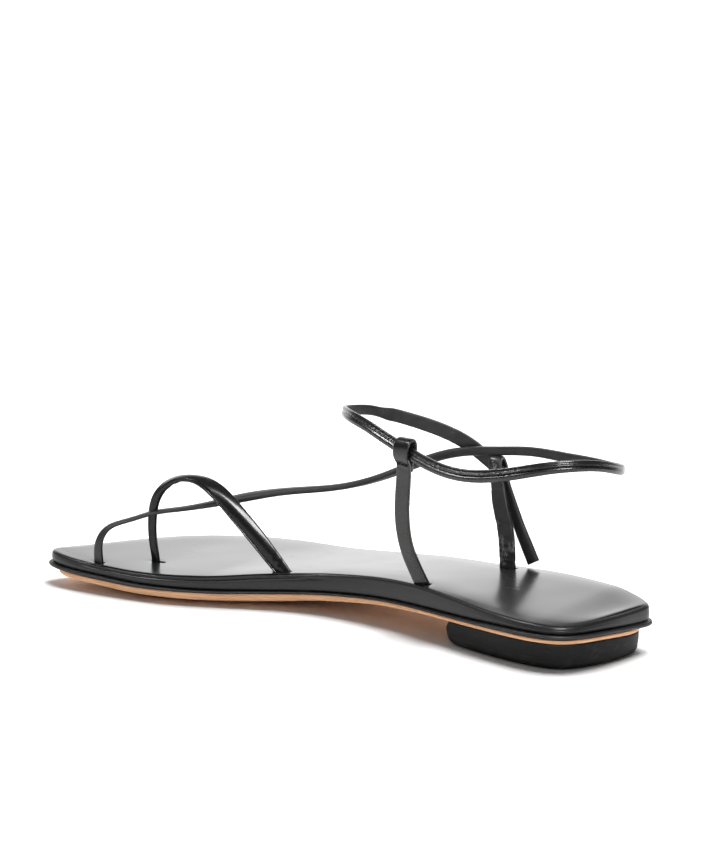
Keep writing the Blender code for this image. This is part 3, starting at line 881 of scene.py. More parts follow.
def make_welt(settings):
    """The thin black layer whose rounded lip stands out below the footbed."""
    along = full_length(settings)
    wobble = settings.welt_wobble / MM
    wander = wobble * sum(share * np.sin(along / length + start) for share, length, start in WELT_WANDERS)
    rings = []
    for degrees in range(-90, 91, 15):
        turn = math.radians(degrees)
        inset = WELT_ROUND * (1 - math.cos(turn)) + wander * math.cos(turn)

        def height(x):
            rise = wobble * WELT_RISE * np.sin(x / WELT_RISE_ALONG)
            return welt_bottom(x) + welt_lip(x) / 2 * (1 + math.sin(turn)) + rise

        rings.append(sole_ring(along, inset, height))
    return sole_layer("welt_lip", rings, HIDDEN_COLUMNS, HIDDEN_COLUMNS)


def make_outsole(settings):
    """The tan leather sole with a softly rounded edge."""
    along = full_length(settings)
    rings = []
    for degrees in (90, 60, 30, 0):
        turn = math.radians(degrees)
        inset = OUTSOLE_INSET + OUTSOLE_ROUND * (1 - math.cos(turn))

        def low(x):
            return ground(x) + OUTSOLE_ROUND * (1 - math.sin(turn))

        rings.append(sole_ring(along, inset, low, tucked=True))
    for share in np.linspace(0, 1, OUTSOLE_RINGS)[1:]:

        def high(x):
            return ground(x) + OUTSOLE_ROUND + (outsole_thick(x) - OUTSOLE_ROUND) * share

        inset = OUTSOLE_INSET - OUTSOLE_SWELL * math.sin(math.pi * share)
        rings.append(sole_ring(along, inset, high, tucked=True))
    return sole_layer("outsole_leather", rings, settings.columns, HIDDEN_COLUMNS, under_height=belly_drop)


def make_heel_block(settings):
    """The low rubber block, its front tucked under and its lower edge rounded."""
    rings = []
    low_shares = np.linspace(0, BLOCK_EDGE_SHARE, BLOCK_STEPS)
    high_shares = np.linspace(BLOCK_EDGE_SHARE, 1, BLOCK_STEPS)[1:]
    depth = ground(0.0) - GAP
    for share in (*low_shares, *high_shares):
        front = float(block_front(share))
        along = spread(front, settings.stations // 3)
        corner = np.clip((along - (front - BLOCK_CORNER)) / BLOCK_CORNER, 0, 1)
        rounding = BLOCK_CORNER * (1 - np.sqrt(1 - BLOCK_CORNER_TURN * corner**2))
        low = max(0.0, 1 - share * depth / BLOCK_EDGE_ROUND)
        rounding += BLOCK_EDGE_ROUND * BLOCK_EDGE_TUCK * (1 - math.sqrt(1 - low * low))
        inset = BLOCK_INSET + BLOCK_TAPER * float(block_taper(share)) + rounding

        def height(x):
            return share * (ground(x) - GAP)

        rings.append(sole_ring(along, inset, height, tucked=True, sag=share))
    return sole_layer("heel_rubber", rings, settings.columns // 2, HIDDEN_COLUMNS)


def strap_samples(rows, spacing):
    """Rows of a strap table at even spacing along its centre line, with the run at each."""
    curve = spline(rows)
    shares = np.linspace(0, 1, PATH_POINTS)
    fine = curve(shares)
    run = np.concatenate([[0.0], np.cumsum(np.linalg.norm(np.diff(fine[:, :3], axis=0), axis=1))])
    count = max(2, round(run[-1] / spacing))
    places = np.linspace(0, run[-1], count + 1)
    return curve(np.interp(places, run, shares)), places


def strap_directions(samples):
    """Unit outward face and sideways directions of the strap at each sample."""
    facing, lift = np.radians(samples[:, FACING]), np.radians(samples[:, LIFT])
    tangent = np.gradient(samples[:, :3], axis=0)
    tangent /= np.linalg.norm(tangent, axis=1)[:, None]
    flat = np.cos(lift)
    face = np.stack([flat * np.cos(facing), flat * np.sin(facing), np.sin(lift)], axis=1)
    face -= tangent * np.sum(face * tangent, axis=1)[:, None]
    face /= np.linalg.norm(face, axis=1)[:, None]
    return face, np.cross(tangent, face)


def section_shape(sides, squareness, relief):
    """Across and depth shares of points evenly spaced round a strap's section."""
    turns = np.linspace(0, 2 * math.pi, SECTION_POINTS + 1)
    ring = np.stack([np.cos(turns), np.sin(turns)], axis=1)
    ring = np.sign(ring) * np.abs(ring) ** squareness
    steps = np.linalg.norm(np.diff(ring * (1, SECTION_FLATNESS), axis=0), axis=1)
    run = np.concatenate([[0.0], np.cumsum(steps)])
    places = run[-1] * (np.arange(sides) + 0.5) / sides
    across, depth = np.interp(places, run, ring[:, 0]), np.interp(places, run, ring[:, 1])
    raised = np.where(depth > 0, level_curve(relief, 1)(across), 1.0)
    return np.stack([across, depth * raised])


def section_at(sections, run):
    """The section at this run, passing softly from one stretch's section to the next."""
    shape = sections[0][1]
    for (start, before), (end, after) in zip(sections[:-1], sections[1:]):
        share = min(1.0, max(0.0, (run - start) / (end - start)))
        if share > 0:
            shape = before + (after - before) * soften(share)
    return shape


def spot_strength(scuffs, run, across, depth, width):
    """How rubbed each point of one ring is, from the table of spots."""
    rubbed = np.zeros_like(across)
    for spot_run, spot_across, side, reach, strength in scuffs:
        away = np.hypot(run - spot_run, (across - spot_across) * width / 2) / reach
        facing = np.clip(SCUFF_WRAP + side * depth, 0, 1)
        rubbed = np.maximum(rubbed, strength * np.exp(-(away**2)) * facing)
    return rubbed


def crease_depth(creases, run, across, depth, width):
    """How far each point of one ring is pressed in by the soft troughs across the strap."""
    pressed = np.zeros_like(across)
    for crease_run, side, deep, reach, slant in creases:
        away = (run - crease_run - slant * across * width / 2) / reach
        pressed += deep * np.exp(-(away**2)) * np.clip(side * depth, 0, 1)
    return pressed


def gather_height(settings, window, run, across, depth):
    """How far stitches gather the seam's ridge at each point of one ring."""
    beat = math.cos(2 * math.pi * run * MM / settings.pucker_spacing)
    near = np.exp(-(((across - settings.ridge_place) / GATHER_REACH) ** 2)) * (depth > 0)
    return near * beat * float(smooth_window(run, *window, GATHER_FADE)) * settings.pucker_height / MM


def make_strap(name, rows, settings, stretches, creases=(), scuffs=(), gathers=None, dull_to=0.0):
    """One strap along its table, with its creases, rubbed spots, gathered seam and dull first run."""
    samples, run = strap_samples(rows, settings.spacing / MM)
    face, aside = strap_directions(samples)
    size = settings.sides
    sections = [(start, section_shape(size, squareness, relief)) for start, squareness, relief in stretches]
    rings, rubbed, edges, dull = [], [], [], []
    for i, row in enumerate(samples):
        width, thick = row[WIDTH], row[THICK]
        across, depth = section_at(sections, run[i])
        deep = depth * thick / 2 - np.sign(depth) * crease_depth(creases, run[i], across, depth, width)
        if gathers:
            deep = deep + gather_height(settings, gathers, run[i], across, depth)
        rings.append(row[:3] + np.outer(across * width / 2, aside[i]) + np.outer(deep, face[i]))
        rubbed.append(spot_strength(scuffs, run[i], across, depth, width))
        edges.append(np.abs(across))
        dull_start = smooth_window(run[i], -DULL_FADE, dull_to - DULL_FADE, DULL_FADE)
        dull.append(np.maximum(-depth, dull_start))
    last = (len(rings) - 1) * size
    faces = ring_faces(len(rings), size)
    faces.append(tuple(range(size)))
    faces.append(tuple(range(last + size - 1, last - 1, -1)))
    values = {
        "rubbed": np.concatenate(rubbed),
        "run": np.repeat(run, size),
        "edge": np.concatenate(edges),
        "dull": np.concatenate(dull),
    }
    piece = make_piece(name, np.vstack(rings), faces, values)
    piece.data.set_sharp_from_angle(angle=STRAP_SHARP)
    return piece


def make_stitches(name, rows, settings, at_run, shares):
    """Short stitches side by side across a strap's outer face."""
    samples, run = strap_samples(rows, settings.spacing / MM)
    face, aside = strap_directions(samples)
    i = int(np.abs(run - at_run).argmin())
    width, thick = samples[i, WIDTH], samples[i, THICK]
    half, radius = settings.stitch_length / MM / 2, settings.stitch_thick / MM / 2
    facing = math.degrees(math.atan2(face[i][1], face[i][0]))
    lift = math.degrees(math.asin(face[i][2]))
    stitches = []
    for number, share in enumerate(shares):
        centre = samples[i, :3] + aside[i] * share * width / 2 + face[i] * thick / 2
        thread = []
        for step, rise in STITCH_ARCH:
            point = centre + aside[i] * step * half + face[i] * rise * radius
            thread.append((*point, 2 * radius, 2 * radius, facing, lift))
        stitches.append(make_strap(f"{name}_{number + 1}", thread, settings, THREAD_STRETCHES))
    return stitches


class Amount:
    """A shader value. Arithmetic on it adds Math nodes to the tree that it belongs to."""

    def __init__(self, nodes, socket):
        self.nodes = nodes
        self.socket = socket

    def math(self, operation, first, second):
        return self.nodes.add("ShaderNodeMath", {"operation": operation}, {0: first, 1: second})

    def __add__(self, other):
        return self.math("ADD", self, other)

    def __sub__(self, other):
        return self.math("SUBTRACT", self, other)

    def __rsub__(self, other):
        return self.math("SUBTRACT", other, self)

    def __mul__(self, other):
        return self.math("MULTIPLY", self, other)

    __radd__ = __add__
    __rmul__ = __mul__


class Nodes:
    """A node tree that is filled by naming each node's type, settings and sockets."""

    def __init__(self, tree):
        self.tree = tree
        tree.nodes.clear()

    def add(self, kind, settings=None, sockets=None, output=0):
        """Adds a node; an output node gives nothing back."""
        node = self.tree.nodes.new(kind)
        for key, value in (settings or {}).items():
            setattr(node, key, value)
        for key, value in (sockets or {}).items():
            if isinstance(value, Amount):
                self.tree.links.new(value.socket, node.inputs[key])
            else:
                node.inputs[key].default_value = value
        return Amount(self, node.outputs[output]) if node.outputs else None

    def place(self):
        return self.add("ShaderNodeTexCoord", output="Object")

    def upward(self):
        """1 where the surface faces up and -1 where it faces down."""
        return self.part_of(self.add("ShaderNodeNewGeometry", output="Normal"), "Z")

    def value_at(self, name):
        return self.add("ShaderNodeAttribute", {"attribute_name": name}, output="Fac")

    def noise(self, where, size, detail=3.0, roughness=0.55):
        """Noise whose grains are about this many metres across."""
        sockets = {"Vector": where, "Scale": 1 / size, "Detail": detail, "Roughness": roughness}
        return self.add("ShaderNodeTexNoise", sockets=sockets, output="Fac")

    def cells(self, where, size):
        """Cells about this many metres across, as the distance from the middle of each."""
        sockets = {"Vector": where, "Scale": 1 / size}
        return self.add("ShaderNodeTexVoronoi", sockets=sockets, output="Distance")

    def stretched(self, where, scale):
        return self.add("ShaderNodeVectorMath", {"operation": "MULTIPLY"}, {0: where, 1: scale})

    def part_of(self, vector, axis):
        return self.add("ShaderNodeSeparateXYZ", sockets={"Vector": vector}, output=axis)

    def mask(self, value, low, high):
        """0 below low and 1 above high, with a soft step between; low may be the larger."""
        settings = {"interpolation_type": "SMOOTHSTEP"}
        return self.add("ShaderNodeMapRange", settings, {"Value": value, "From Min": low, "From Max": high})

    def mix(self, share, first, second):
        settings = {"data_type": "RGBA"}
        colours = [(*c, 1.0) if isinstance(c, (tuple, list)) else c for c in (first, second)]
        return self.add("ShaderNodeMix", settings, {0: share, 6: colours[0], 7: colours[1]}, 2)

    def bump(self, height, depth):
        """A bump of this many metres from a height of 0..1."""
        sockets = {"Height": height, "Distance": depth, "Strength": 1.0}
        return self.add("ShaderNodeBump", sockets=sockets, output="Normal")

    def surface(self, sockets):
        return self.add("ShaderNodeBsdfPrincipled", sockets=sockets, output="BSDF")


def finish(name, recipe, *values):
    """A material whose shader comes from the recipe, given its colours and shares."""
    material = bpy.data.materials.new(name)
    material.use_nodes = True
    nodes = Nodes(material.node_tree)
    shader = recipe(nodes, *[value if isinstance(value, float) else tuple(value) for value in values])
    nodes.add("ShaderNodeOutputMaterial", sockets={"Surface": shader})
    return material


def shade(colour, factor):
    return tuple(min(1.0, channel * factor) for channel in colour)


def polished_leather(nodes, colour):
    """Smooth black footbed leather: glossy on top, satin on the wall, with faint rub marks."""
    where = nodes.place()
    top = nodes.mask(nodes.upward(), 0.55, 0.95)
    smudge = nodes.noise(nodes.stretched(where, (0.6, 1.6, 1.0)), 0.03)
    rub = nodes.mask(nodes.noise(nodes.stretched(where, (0.35, 1.3, 1.0)), 0.006, 5.0), 0.58, 0.78)
    pores = nodes.cells(where, 0.0007)
    grain = nodes.noise(where, 0.0011, 4.0, 0.6)
    roughness = 0.36 - top * 0.15 + smudge * 0.05 + rub * top * 0.06
    tone = nodes.mix(nodes.mask(grain, 0.35, 0.75), colour, shade(colour, 1.35))
    normal = nodes.bump(grain * 0.6 + pores * 0.4, 0.000012)
    return nodes.surface({
        "Base Color": tone,
        "Roughness": roughness,
        "IOR": 1.42,
        "Coat Weight": top * 0.3,
        "Coat Roughness": 0.16,
        "Coat IOR": 1.45,
        "Normal": normal,
    })


def waxed_edge(nodes, colour):
    """Black welt leather with a waxed, slightly rubbed lip."""
    where = nodes.place()
    grain = nodes.noise(where, 0.0006, 4.0)
    streak = nodes.noise(nodes.stretched(where, (0.25, 0.25, 2.5)), 0.002, 4.0)
    rub = nodes.mask(streak, 0.52, 0.75)
    tone = nodes.mix(rub, colour, shade(colour, 2.6))
    return nodes.surface({
        "Base Color": tone,
        "Roughness": 0.42 + grain * 0.14 - rub * 0.06,
        "IOR": 1.45,
        "Coat Weight": rub * 0.25,
        "Coat Roughness": 0.3,
        "Normal": nodes.bump(grain * 0.5 + streak * 0.5, 0.00004),
    })


def sole_leather(nodes, colour):
    """Vegetable-tanned sole leather: pressed layers on the cut edge, a rubbed and pored underside."""
    where = nodes.place()
    downward = nodes.mask(nodes.upward(), -0.6, -0.95)
    layers = nodes.noise(nodes.stretched(where, (0.12, 0.12, 3.0)), 0.0016, 5.0, 0.6)
    fibre = nodes.noise(where, 0.0005, 5.0, 0.65)
    patch = nodes.noise(where, 0.022, 3.0)
    dark, pale = shade(colour, 0.72), shade(colour, 1.12)
    edge_tone = nodes.mix(nodes.mask(layers, 0.3, 0.7), dark, pale)
    rubbed = nodes.mask(nodes.noise(nodes.stretched(where, (0.5, 1.4, 1.0)), 0.012, 6.0), 0.5, 0.72)
    under_tone = nodes.mix(rubbed, shade(colour, 0.95), shade(colour, 0.6))
    tone = nodes.mix(downward, edge_tone, under_tone)
    tone = nodes.mix(nodes.mask(patch, 0.4, 0.7) * 0.25, tone, shade(colour, 0.85))
    return nodes.surface({
        "Base Color": tone,
        "Roughness": 0.52 + fibre * 0.2 - rubbed * downward * 0.08,
        "IOR": 1.4,
        "Normal": nodes.bump(layers * 0.6 + fibre * 0.4, 0.00005),
    })


def heel_rubber(nodes, colour):
    """Matte moulded rubber with fine pitting, scuffed along its lower edge and underside."""
    where = nodes.place()
    height = nodes.part_of(where, "Z")
    pits = nodes.cells(where, 0.0009)
    grain = nodes.noise(where, 0.0007, 4.0)
    drag = nodes.noise(nodes.stretched(where, (0.3, 0.8, 2.0)), 0.004, 6.0, 0.65)
    low = nodes.mask(height, 0.0022, 0.0003)
    scuff = nodes.mask(drag, 0.5, 0.72) * (0.12 + low * 0.7)
    tone = nodes.mix(scuff, colour, (0.11, 0.105, 0.1))
    return nodes.surface({
        "Base Color": tone,
        "Roughness": 0.5 + grain * 0.16 + scuff * 0.15,
        "Specular IOR Level": 0.2,
        "Normal": nodes.bump(pits * 0.4 + grain * 0.6, 0.00006),
    })


def strap_lining(nodes, colour):
    """The dull side of a strap, toward the foot."""
    where = nodes.place()
    nap = nodes.noise(where, 0.0006, 5.0, 0.65)
    patch = nodes.noise(where, 0.006, 3.0)
    return nodes.surface({
        "Base Color": nodes.mix(nodes.mask(patch, 0.35, 0.7), shade(colour, 1.5), shade(colour, 2.4)),
        "Roughness": 0.4 + nap * 0.2,
        "Specular IOR Level": 0.4,
        "Normal": nodes.bump(nap, 0.00005),
    })


def strap_leather(nodes, colour, worn, shine):
    """Fine black strap leather: small grain, cross wrinkles, pale edges, rubbed spots and a dull lining."""
    where = nodes.place()
    run = nodes.value_at("run")
    rubbed = nodes.value_at("rubbed")
    edge = nodes.mask(nodes.value_at("edge"), 0.86, 1.0)
    pores = nodes.cells(where, 0.00055)
    grain = nodes.noise(where, 0.0008, 4.0, 0.6)
    patch = nodes.noise(where, 0.007, 3.0)
    wave = nodes.add("ShaderNodeMath", {"operation": "SINE"}, {0: run * 3.1 + grain * 9.0 + patch * 6.0})
    wrinkle = (wave * 0.5 + 0.5) * nodes.mask(patch, 0.45, 0.75)
    crackle = nodes.mask(nodes.noise(nodes.stretched(where, (1.6, 1.6, 0.6)), 0.0012, 6.0, 0.7), 0.42, 0.6)
    pale = rubbed * crackle
    tone = nodes.mix(nodes.mask(grain, 0.35, 0.75), shade(colour, 0.75), shade(colour, 1.25))
    tone = nodes.mix(edge * nodes.mask(patch, 0.35, 0.7) * 0.5, tone, shade(colour, 2.4))
    tone = nodes.mix(pale, tone, worn)
    height = pores * 0.35 + grain * 0.4 + wrinkle * 0.25
    outside = nodes.surface({
        "Base Color": tone,
        "Roughness": 0.2 + grain * 0.1 + patch * 0.06 + pale * 0.3,
        "Specular IOR Level": shine,
        "Coat Weight": (1 - pale) * (nodes.mask(patch, 0.3, 0.7) * 0.1 + 0.2),
        "Coat Roughness": 0.12,
        "Normal": nodes.bump(height, 0.000025),
    })
    dull = nodes.mask(nodes.value_at("dull"), 0.2, 0.6) * (1 - nodes.mask(rubbed, 0.05, 0.3))
    return nodes.add("ShaderNodeMixShader", sockets={0: dull, 1: outside, 2: strap_lining(nodes, colour)})


def waxed_thread(nodes, colour):
    """Black waxed sewing thread with its twist."""
    where = nodes.place()
    twist = nodes.noise(nodes.stretched(where, (1.0, 1.0, 0.4)), 0.0003, 2.0)
    return nodes.surface({
        "Base Color": nodes.mix(twist, shade(colour, 0.5), colour),
        "Roughness": 0.5 + twist * 0.2,
        "Specular IOR Level": 0.3,
        "Normal": nodes.bump(twist, 0.00006),
    })


def floor_paper(nodes, colour):
    """Plain pale studio floor with a very fine tooth; away from the sandal it is given a painted glow that
    stands in for light falling on it.
    """
    where = nodes.place()
    tooth = nodes.noise(where, 0.002, 3.0)
    away = nodes.add("ShaderNodeVectorMath", {"operation": "LENGTH"}, {0: where}, output="Value")
    return nodes.surface({
        "Base Color": nodes.mix(nodes.noise(where, 0.4, 2.0), colour, shade(colour, 0.985)),
        "Roughness": 0.75 + tooth * 0.1,
        "Specular IOR Level": 0.2,
        # Painted light: the floor emits light of its own away from the sandal, in place of light falling on
        # it.
        "Emission Color": nodes.mix(nodes.mask(away, 0.5, 1.3), (0.0, 0.0, 0.0), (1.0, 1.0, 1.0)),
        "Emission Strength": 1.0,
        "Normal": nodes.bump(tooth, 0.00003),
    })


def dress(piece, node, material):
    """Gives a piece its finish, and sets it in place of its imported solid."""
    piece.data.materials.append(material)
    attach(piece, BODY)
    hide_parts(node)


def cut_slots(cover):
    """Cuts the slits that the strap ends go through."""
    cutters = []
    for rows, from_end, ease in SLOTS:
        short = [list(row) for row in (rows[::-1] if from_end else rows)[:3]]
        for row in short:
            row[ALONG] -= ease / 2 - SLOT_SHIFT
            row[WIDTH] += ease
            row[THICK] += SLOT_EASE
        cutter = make_strap("slot", short, bpy.context.scene.sandal_straps, POST_STRETCHES)
        modifier = cover.modifiers.new("slot", "BOOLEAN")
        modifier.operation = "DIFFERENCE"
        modifier.solver = "EXACT"
        modifier.object = cutter
        cutters.append(cutter)
    shown = cover.evaluated_get(bpy.context.evaluated_depsgraph_get())
    cut = bpy.data.meshes.new_from_object(shown)
    cover.modifiers.clear()
    cover.data = cut
    cut.set_sharp_from_angle(angle=SLOT_SHARP)
    for cutter in cutters:
        bpy.data.objects.remove(cutter)


def number_setting(name, description, default, low, high, **kind):
    """A number between its limits; kind gives its unit or subtype."""
    return FloatProperty(name=name, description=description, default=default, min=low, max=high, **kind)


def length_setting(name, description, default, low, high):
    return number_setting(name, description, default, low, high, unit="LENGTH")


def share_setting(name, description, default, low=0.0, high=1.0):
    return number_setting(name, description, default, low, high, subtype="FACTOR")


def count_setting(name, description, default, low, high):
    return IntProperty(name=name, description=description, default=default, min=low, max=high)


def vector_setting(name, description, default, **kind):
    """Numbers that belong together; kind gives their subtype, and their unit or limits."""
    size = len(default)
    return FloatVectorProperty(name=name, description=description, default=default, size=size, **kind)


def colour_setting(name, description, default):
    return vector_setting(name, description, default, min=0.0, max=1.0, subtype="COLOR")


def place_setting(name, description, default):
    return vector_setting(name, description, default, subtype="TRANSLATION", unit="LENGTH")


def sides_setting(name, description, default):
    return vector_setting(name, description, default, subtype="XYZ", unit="LENGTH")


class SandalSoleSettings(bpy.types.PropertyGroup):
    """Sizes and colours of the sole's layers."""

    stations: count_setting("Stations", "Sections of each layer from heel to toe", 320, 60, 600)
    columns: count_setting("Columns", "Divisions across the footbed and the underside", 56, 6, 120)
    rim_crease: share_setting("Rim Crease", "Strength of the creases along the inner rim", 1.0, 0.0, 2.0)
    welt_wobble: length_setting("Welt Wobble", "How far the welt's lip wanders", 0.00012, 0.0, 0.001)
    cover_colour: colour_setting("Footbed Leather", "Colour of the footbed's cover", (0.012, 0.012, 0.013))
    welt_colour: colour_setting("Welt Leather", "Colour of the welt", (0.014, 0.014, 0.014))
    tan_colour: colour_setting("Sole Leather", "Colour of the tan outsole", (0.95, 0.51, 0.28))
    rubber_colour: colour_setting("Heel Rubber", "Colour of the heel block", (0.006, 0.006, 0.006))


class SandalStrapSettings(bpy.types.PropertyGroup):
    """Sizes and colours of the straps."""

    spacing: length_setting("Ring Spacing", "Distance between a strap's rings", 0.00055, 0.0002, 0.005)
    sides: count_setting("Sides", "Points round a strap's section", 64, 8, 96)
    ridge_place: share_setting("Ridge Place", "Where the seam's ridge lies across the strap", 0.31, -1.0)
    pucker_spacing: length_setting(
        "Pucker Spacing", "Distance between the gathers along the ankle strap's seam", 0.0024, 0.001, 0.01
    )
    pucker_height: length_setting(
        "Pucker Height", "Height of the gathers along the ankle strap's seam", 0.0001, 0.0, 0.0006
    )
    stitch_length: length_setting(
        "Stitch Length", "Length of the stitches across the inner post's fold", 0.0013, 0.0005, 0.003
    )
    stitch_thick: length_setting(
        "Stitch Thickness", "Thickness of the stitching thread", 0.0005, 0.0002, 0.001
    )
    vamp_shine: share_setting("Domed Strap Shine", "How strongly the domed strap mirrors the room", 0.14)
    strap_shine: share_setting("Strap Shine", "How strongly the straps mirror the room", 0.45)
    post_shine: share_setting("Post Shine", "How strongly the posts mirror the room", 0.38)
    colour: colour_setting("Strap Leather", "Colour of the straps", (0.011, 0.011, 0.011))
    worn_colour: colour_setting(
        "Rubbed Leather", "Colour of the straps where the finish is rubbed", (0.5, 0.5, 0.49)
    )


class SandalStageSettings(bpy.types.PropertyGroup):
    """Floor, light and camera."""

    camera_place: place_setting("Camera Place", "Where the camera stands", (-0.83887, 1.07825, 0.36756))
    camera_turn: vector_setting(
        "Camera Turn", "How the camera is turned",
        (math.radians(78.036), 0.0, math.radians(-142.165)), subtype="EULER", unit="ROTATION",
    )
    lens: number_setting("Lens", "Focal length of the camera in millimetres", 150.38, 20.0, 400.0)
    floor_size: length_setting("Floor Size", "Width of the floor", 40.0, 1.0, 100.0)
    floor_colour: colour_setting("Floor", "Colour of the floor", (0.88, 0.88, 0.875))
    softbox_place: place_setting("Softbox Place", "Centre of the softbox overhead", (0.08, -0.48, 1.1))
    softbox_size: sides_setting("Softbox Size", "Sides of the softbox", (0.9, 0.7))
    softbox_power: number_setting("Softbox Power", "Power of the softbox in watts", 30.0, 0.0, 500.0)
    lamp_place: place_setting("Lamp Place", "Centre of the small lamp over the camera", (-0.64, 0.76, 0.93))
    lamp_size: sides_setting("Lamp Size", "Sides of the small lamp", (0.4, 0.4))
    lamp_power: number_setting("Lamp Power", "Power of the small lamp in watts", 24.0, 0.0, 100.0)
    side_place: place_setting("Side Lamp Place", "Centre of the lamp on the toe's side", (0.56, 0.57, 1.0))
    side_size: sides_setting("Side Lamp Size", "Sides of the lamp on the toe's side", (0.3, 0.1))
    side_power: number_setting(
        "Side Lamp Power", "Power of the lamp on the toe's side in watts", 7.0, 0.0, 100.0
    )
    surround_far: number_setting(
        "Far Surround", "Brightness of the white surround behind the sandal", 2.1, 0.0, 10.0
    )
    surround_near: number_setting(
        "Near Surround", "Brightness of the room overhead and on the camera's side", 0.17, 0.0, 10.0
    )


class SANDAL_OT_outsole(bpy.types.Operator):
    """Build the tan leather outsole."""

    bl_idname = "sandal.outsole"
    bl_label = "Outsole"

    def execute(self, context):
        settings = context.scene.sandal_sole
        leather = finish("sole_leather", sole_leather, settings.tan_colour)
        dress(make_outsole(settings), "outsole", leather)
        return {"FINISHED"}


class SANDAL_OT_heel_block(bpy.types.Operator):
    """Build the rubber heel block."""

    bl_idname = "sandal.heel_block"
    bl_label = "Heel Block"

    def execute(self, context):
        settings = context.scene.sandal_sole
        rubber = finish("heel_rubber", heel_rubber, settings.rubber_colour)
        dress(make_heel_block(settings), "heel_block", rubber)
        return {"FINISHED"}


class SANDAL_OT_welt(bpy.types.Operator):
    """Build the welt and its waxed lip."""

    bl_idname = "sandal.welt"
    bl_label = "Welt"

    def execute(self, context):
        settings = context.scene.sandal_sole
        edge = finish("waxed_edge", waxed_edge, settings.welt_colour)
        dress(make_welt(settings), "welt", edge)
        return {"FINISHED"}


class SANDAL_OT_footbed(bpy.types.Operator):
    """Build the padded footbed with its rolled rim and strap slots."""

    bl_idname = "sandal.footbed"
    bl_label = "Footbed"

    def execute(self, context):
        settings = context.scene.sandal_sole
        leather = finish("polished_leather", polished_leather, settings.cover_colour)
        cover = make_footbed(settings)
        cut_slots(cover)
        dress(cover, "footbed", leather)
        return {"FINISHED"}


class SANDAL_OT_straps(bpy.types.Operator):
    """Build the domed strap, the toe strap and the ankle strap."""

    bl_idname = "sandal.straps"
    bl_label = "Straps"

    def execute(self, context):
        settings = context.scene.sandal_straps
        colours = settings.colour, settings.worn_colour
        vamp = make_strap("vamp_strap", VAMP_STRAP, settings, VAMP_STRETCHES, VAMP_CREASES)
        dress(vamp, "upper", finish("vamp_leather", strap_leather, *colours, settings.vamp_shine))
        toe = make_strap(
            "toe_strap", TOE_STRAP, settings, TOE_STRETCHES, gathers=TOE_GATHERS, dull_to=TOE_DULL_TO
        )
        ankle = make_strap(
            "ankle_strap", ANKLE_STRAP, settings, ANKLE_STRETCHES, WIDE_END_CREASES, WIDE_END_PALE_SPOTS,
            ANKLE_GATHERS,
        )
        leather = finish("strap_leather", strap_leather, *colours, settings.strap_shine)
        dress(toe, "upper", leather)
        dress(ankle, "upper", leather)
        return {"FINISHED"}


class SANDAL_OT_posts(bpy.types.Operator):
    """Build the two posts, folded round the ankle strap, and the stitches of the inner one."""

    bl_idname = "sandal.posts"
    bl_label = "Posts"

    def execute(self, context):
        settings = context.scene.sandal_straps
        colours = settings.colour, settings.worn_colour
        leather = finish("post_leather", strap_leather, *colours, settings.post_shine)
        thread = finish("waxed_thread", waxed_thread, settings.colour)
        posts = (
            make_strap("inner_post", INNER_POST, settings, POST_STRETCHES, INNER_POST_CREASES),
            make_strap("outer_post", OUTER_POST, settings, POST_STRETCHES, POST_CREASES, POST_SCUFFS),
        )
        for post in posts:
            dress(post, "upper", leather)
        for stitch in make_stitches("crimp_stitch", INNER_POST, settings, CRIMP_RUN, CRIMP_STITCHES):
            dress(stitch, "upper", thread)
        return {"FINISHED"}


class SANDAL_OT_stage(bpy.types.Operator):
    """Set the floor, the light and the camera."""

    bl_idname = "sandal.stage"
    bl_label = "Stage"

    def execute(self, context):
        settings = context.scene.sandal_stage
        context.scene.view_settings.view_transform = "Standard"
        add_floor(settings)
        softbox = add_lamp("softbox", settings.softbox_place, settings.softbox_size, settings.softbox_power)
        softbox.visible_glossy = False
        lamp = add_lamp("lamp", settings.lamp_place, settings.lamp_size, settings.lamp_power)
        side_lamp = add_lamp("side_lamp", settings.side_place, settings.side_size, settings.side_power)
        lamp.visible_diffuse = side_lamp.visible_diffuse = False
        add_surround(settings)
        add_camera(settings)
        return {"FINISHED"}


def add_floor(settings):
    """A wide level floor that the sole stands on."""
    half = settings.floor_size / 2
    mesh = bpy.data.meshes.new("floor")
    corners = [(-half, -half, 0.0), (half, -half, 0.0), (half, half, 0.0), (-half, half, 0.0)]
    mesh.from_pydata(corners, [], [(0, 1, 2, 3)])
    mesh.materials.append(finish("floor_paper", floor_paper, settings.floor_colour))
    link(bpy.data.objects.new("floor", mesh))


def add_lamp(name, place, size, power):
    """A rectangular soft light that shines at the sandal."""
    lamp = bpy.data.lights.new(name, "AREA")
    lamp.shape = "RECTANGLE"
    lamp.size, lamp.size_y = size
    lamp.energy = power
    light = link(bpy.data.objects.new(name, lamp))
    light.location = place
    light.rotation_euler = (-Vector(place)).to_track_quat("-Z", "Y").to_euler()
    return light


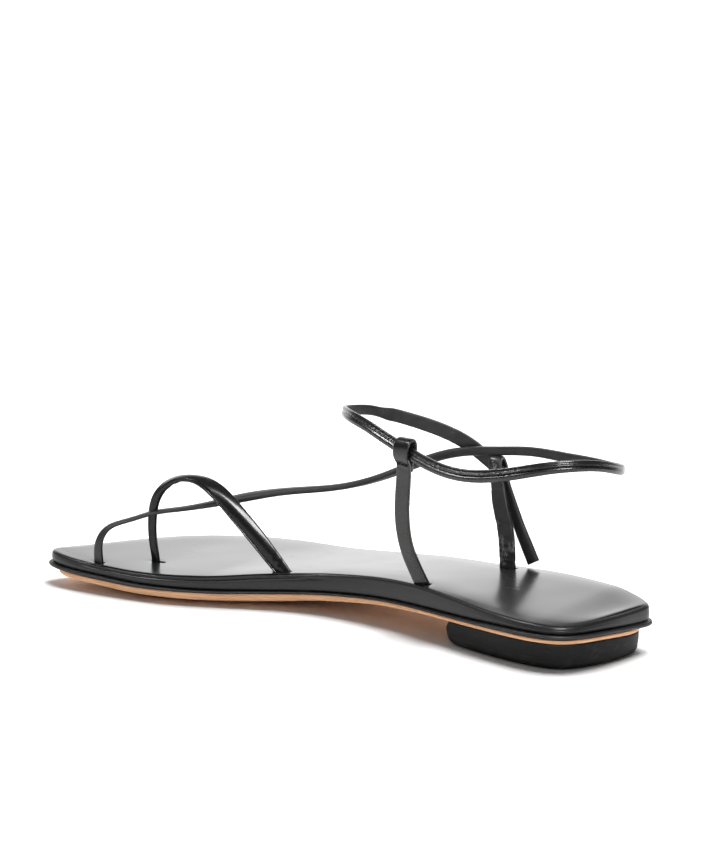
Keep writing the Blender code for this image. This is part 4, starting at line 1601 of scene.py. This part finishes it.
def add_surround(settings):
    """A surround that is bright low down behind the sandal, and dim overhead and on the camera's side."""
    world = bpy.data.worlds.new("surround")
    world.use_nodes = True
    nodes = Nodes(world.node_tree)
    toward = Vector(settings.camera_place)
    toward.z = 0.0
    behind = -toward.normalized()
    where = nodes.add("ShaderNodeTexCoord", output="Generated")
    facing = nodes.add(
        "ShaderNodeVectorMath", {"operation": "DOT_PRODUCT"}, {0: where, 1: tuple(behind)}, output="Value"
    )
    height = nodes.part_of(where, "Z")
    low = nodes.mask(height, 0.78, 0.42)
    above_floor = 0.55 + nodes.mask(height, 0.0, 0.12) * 0.45
    back = nodes.mask(facing, 0.55, 0.85) * low * above_floor
    strength = settings.surround_near + back * (settings.surround_far - settings.surround_near)
    sky = nodes.add("ShaderNodeBackground", sockets={"Color": (1.0, 1.0, 1.0, 1.0), "Strength": strength})
    nodes.add("ShaderNodeOutputWorld", sockets={"Surface": sky})
    bpy.context.scene.world = world


def add_camera(settings):
    lens = bpy.data.cameras.new("camera")
    lens.lens = settings.lens
    camera = link(bpy.data.objects.new("camera", lens))
    camera.location = settings.camera_place
    camera.rotation_euler = settings.camera_turn
    bpy.context.scene.camera = camera


OPERATORS = (
    SANDAL_OT_outsole,
    SANDAL_OT_heel_block,
    SANDAL_OT_welt,
    SANDAL_OT_footbed,
    SANDAL_OT_straps,
    SANDAL_OT_posts,
    SANDAL_OT_stage,
)


class SANDAL_PT_sidebar(bpy.types.Panel):
    """Lists the sandal's pieces and the sizes and colours that they use."""

    bl_idname = "SANDAL_PT_sidebar"
    bl_label = "Flat Sandal"
    bl_space_type = "VIEW_3D"
    bl_region_type = "UI"
    bl_category = "Sandal"

    def draw(self, context):
        for operator in OPERATORS:
            self.layout.operator(operator.bl_idname)
        for group in SETTINGS:
            box = self.layout.box()
            for name in SETTINGS[group].__annotations__:
                box.prop(getattr(context.scene, group), name)


SETTINGS = {
    "sandal_sole": SandalSoleSettings,
    "sandal_straps": SandalStrapSettings,
    "sandal_stage": SandalStageSettings,
}


def register():
    for group, kind in SETTINGS.items():
        bpy.utils.register_class(kind)
        setattr(bpy.types.Scene, group, PointerProperty(type=kind))
    for operator in OPERATORS:
        bpy.utils.register_class(operator)
    bpy.utils.register_class(SANDAL_PT_sidebar)


def unregister():
    bpy.utils.unregister_class(SANDAL_PT_sidebar)
    for operator in reversed(OPERATORS):
        bpy.utils.unregister_class(operator)
    for group, kind in SETTINGS.items():
        delattr(bpy.types.Scene, group)
        bpy.utils.unregister_class(kind)


def main():
    register()
    bpy.ops.sandal.stage()
    bpy.ops.sandal.outsole()
    bpy.ops.sandal.heel_block()
    bpy.ops.sandal.welt()
    bpy.ops.sandal.footbed()
    bpy.ops.sandal.straps()
    bpy.ops.sandal.posts()


if __name__ == "__main__":
    main()
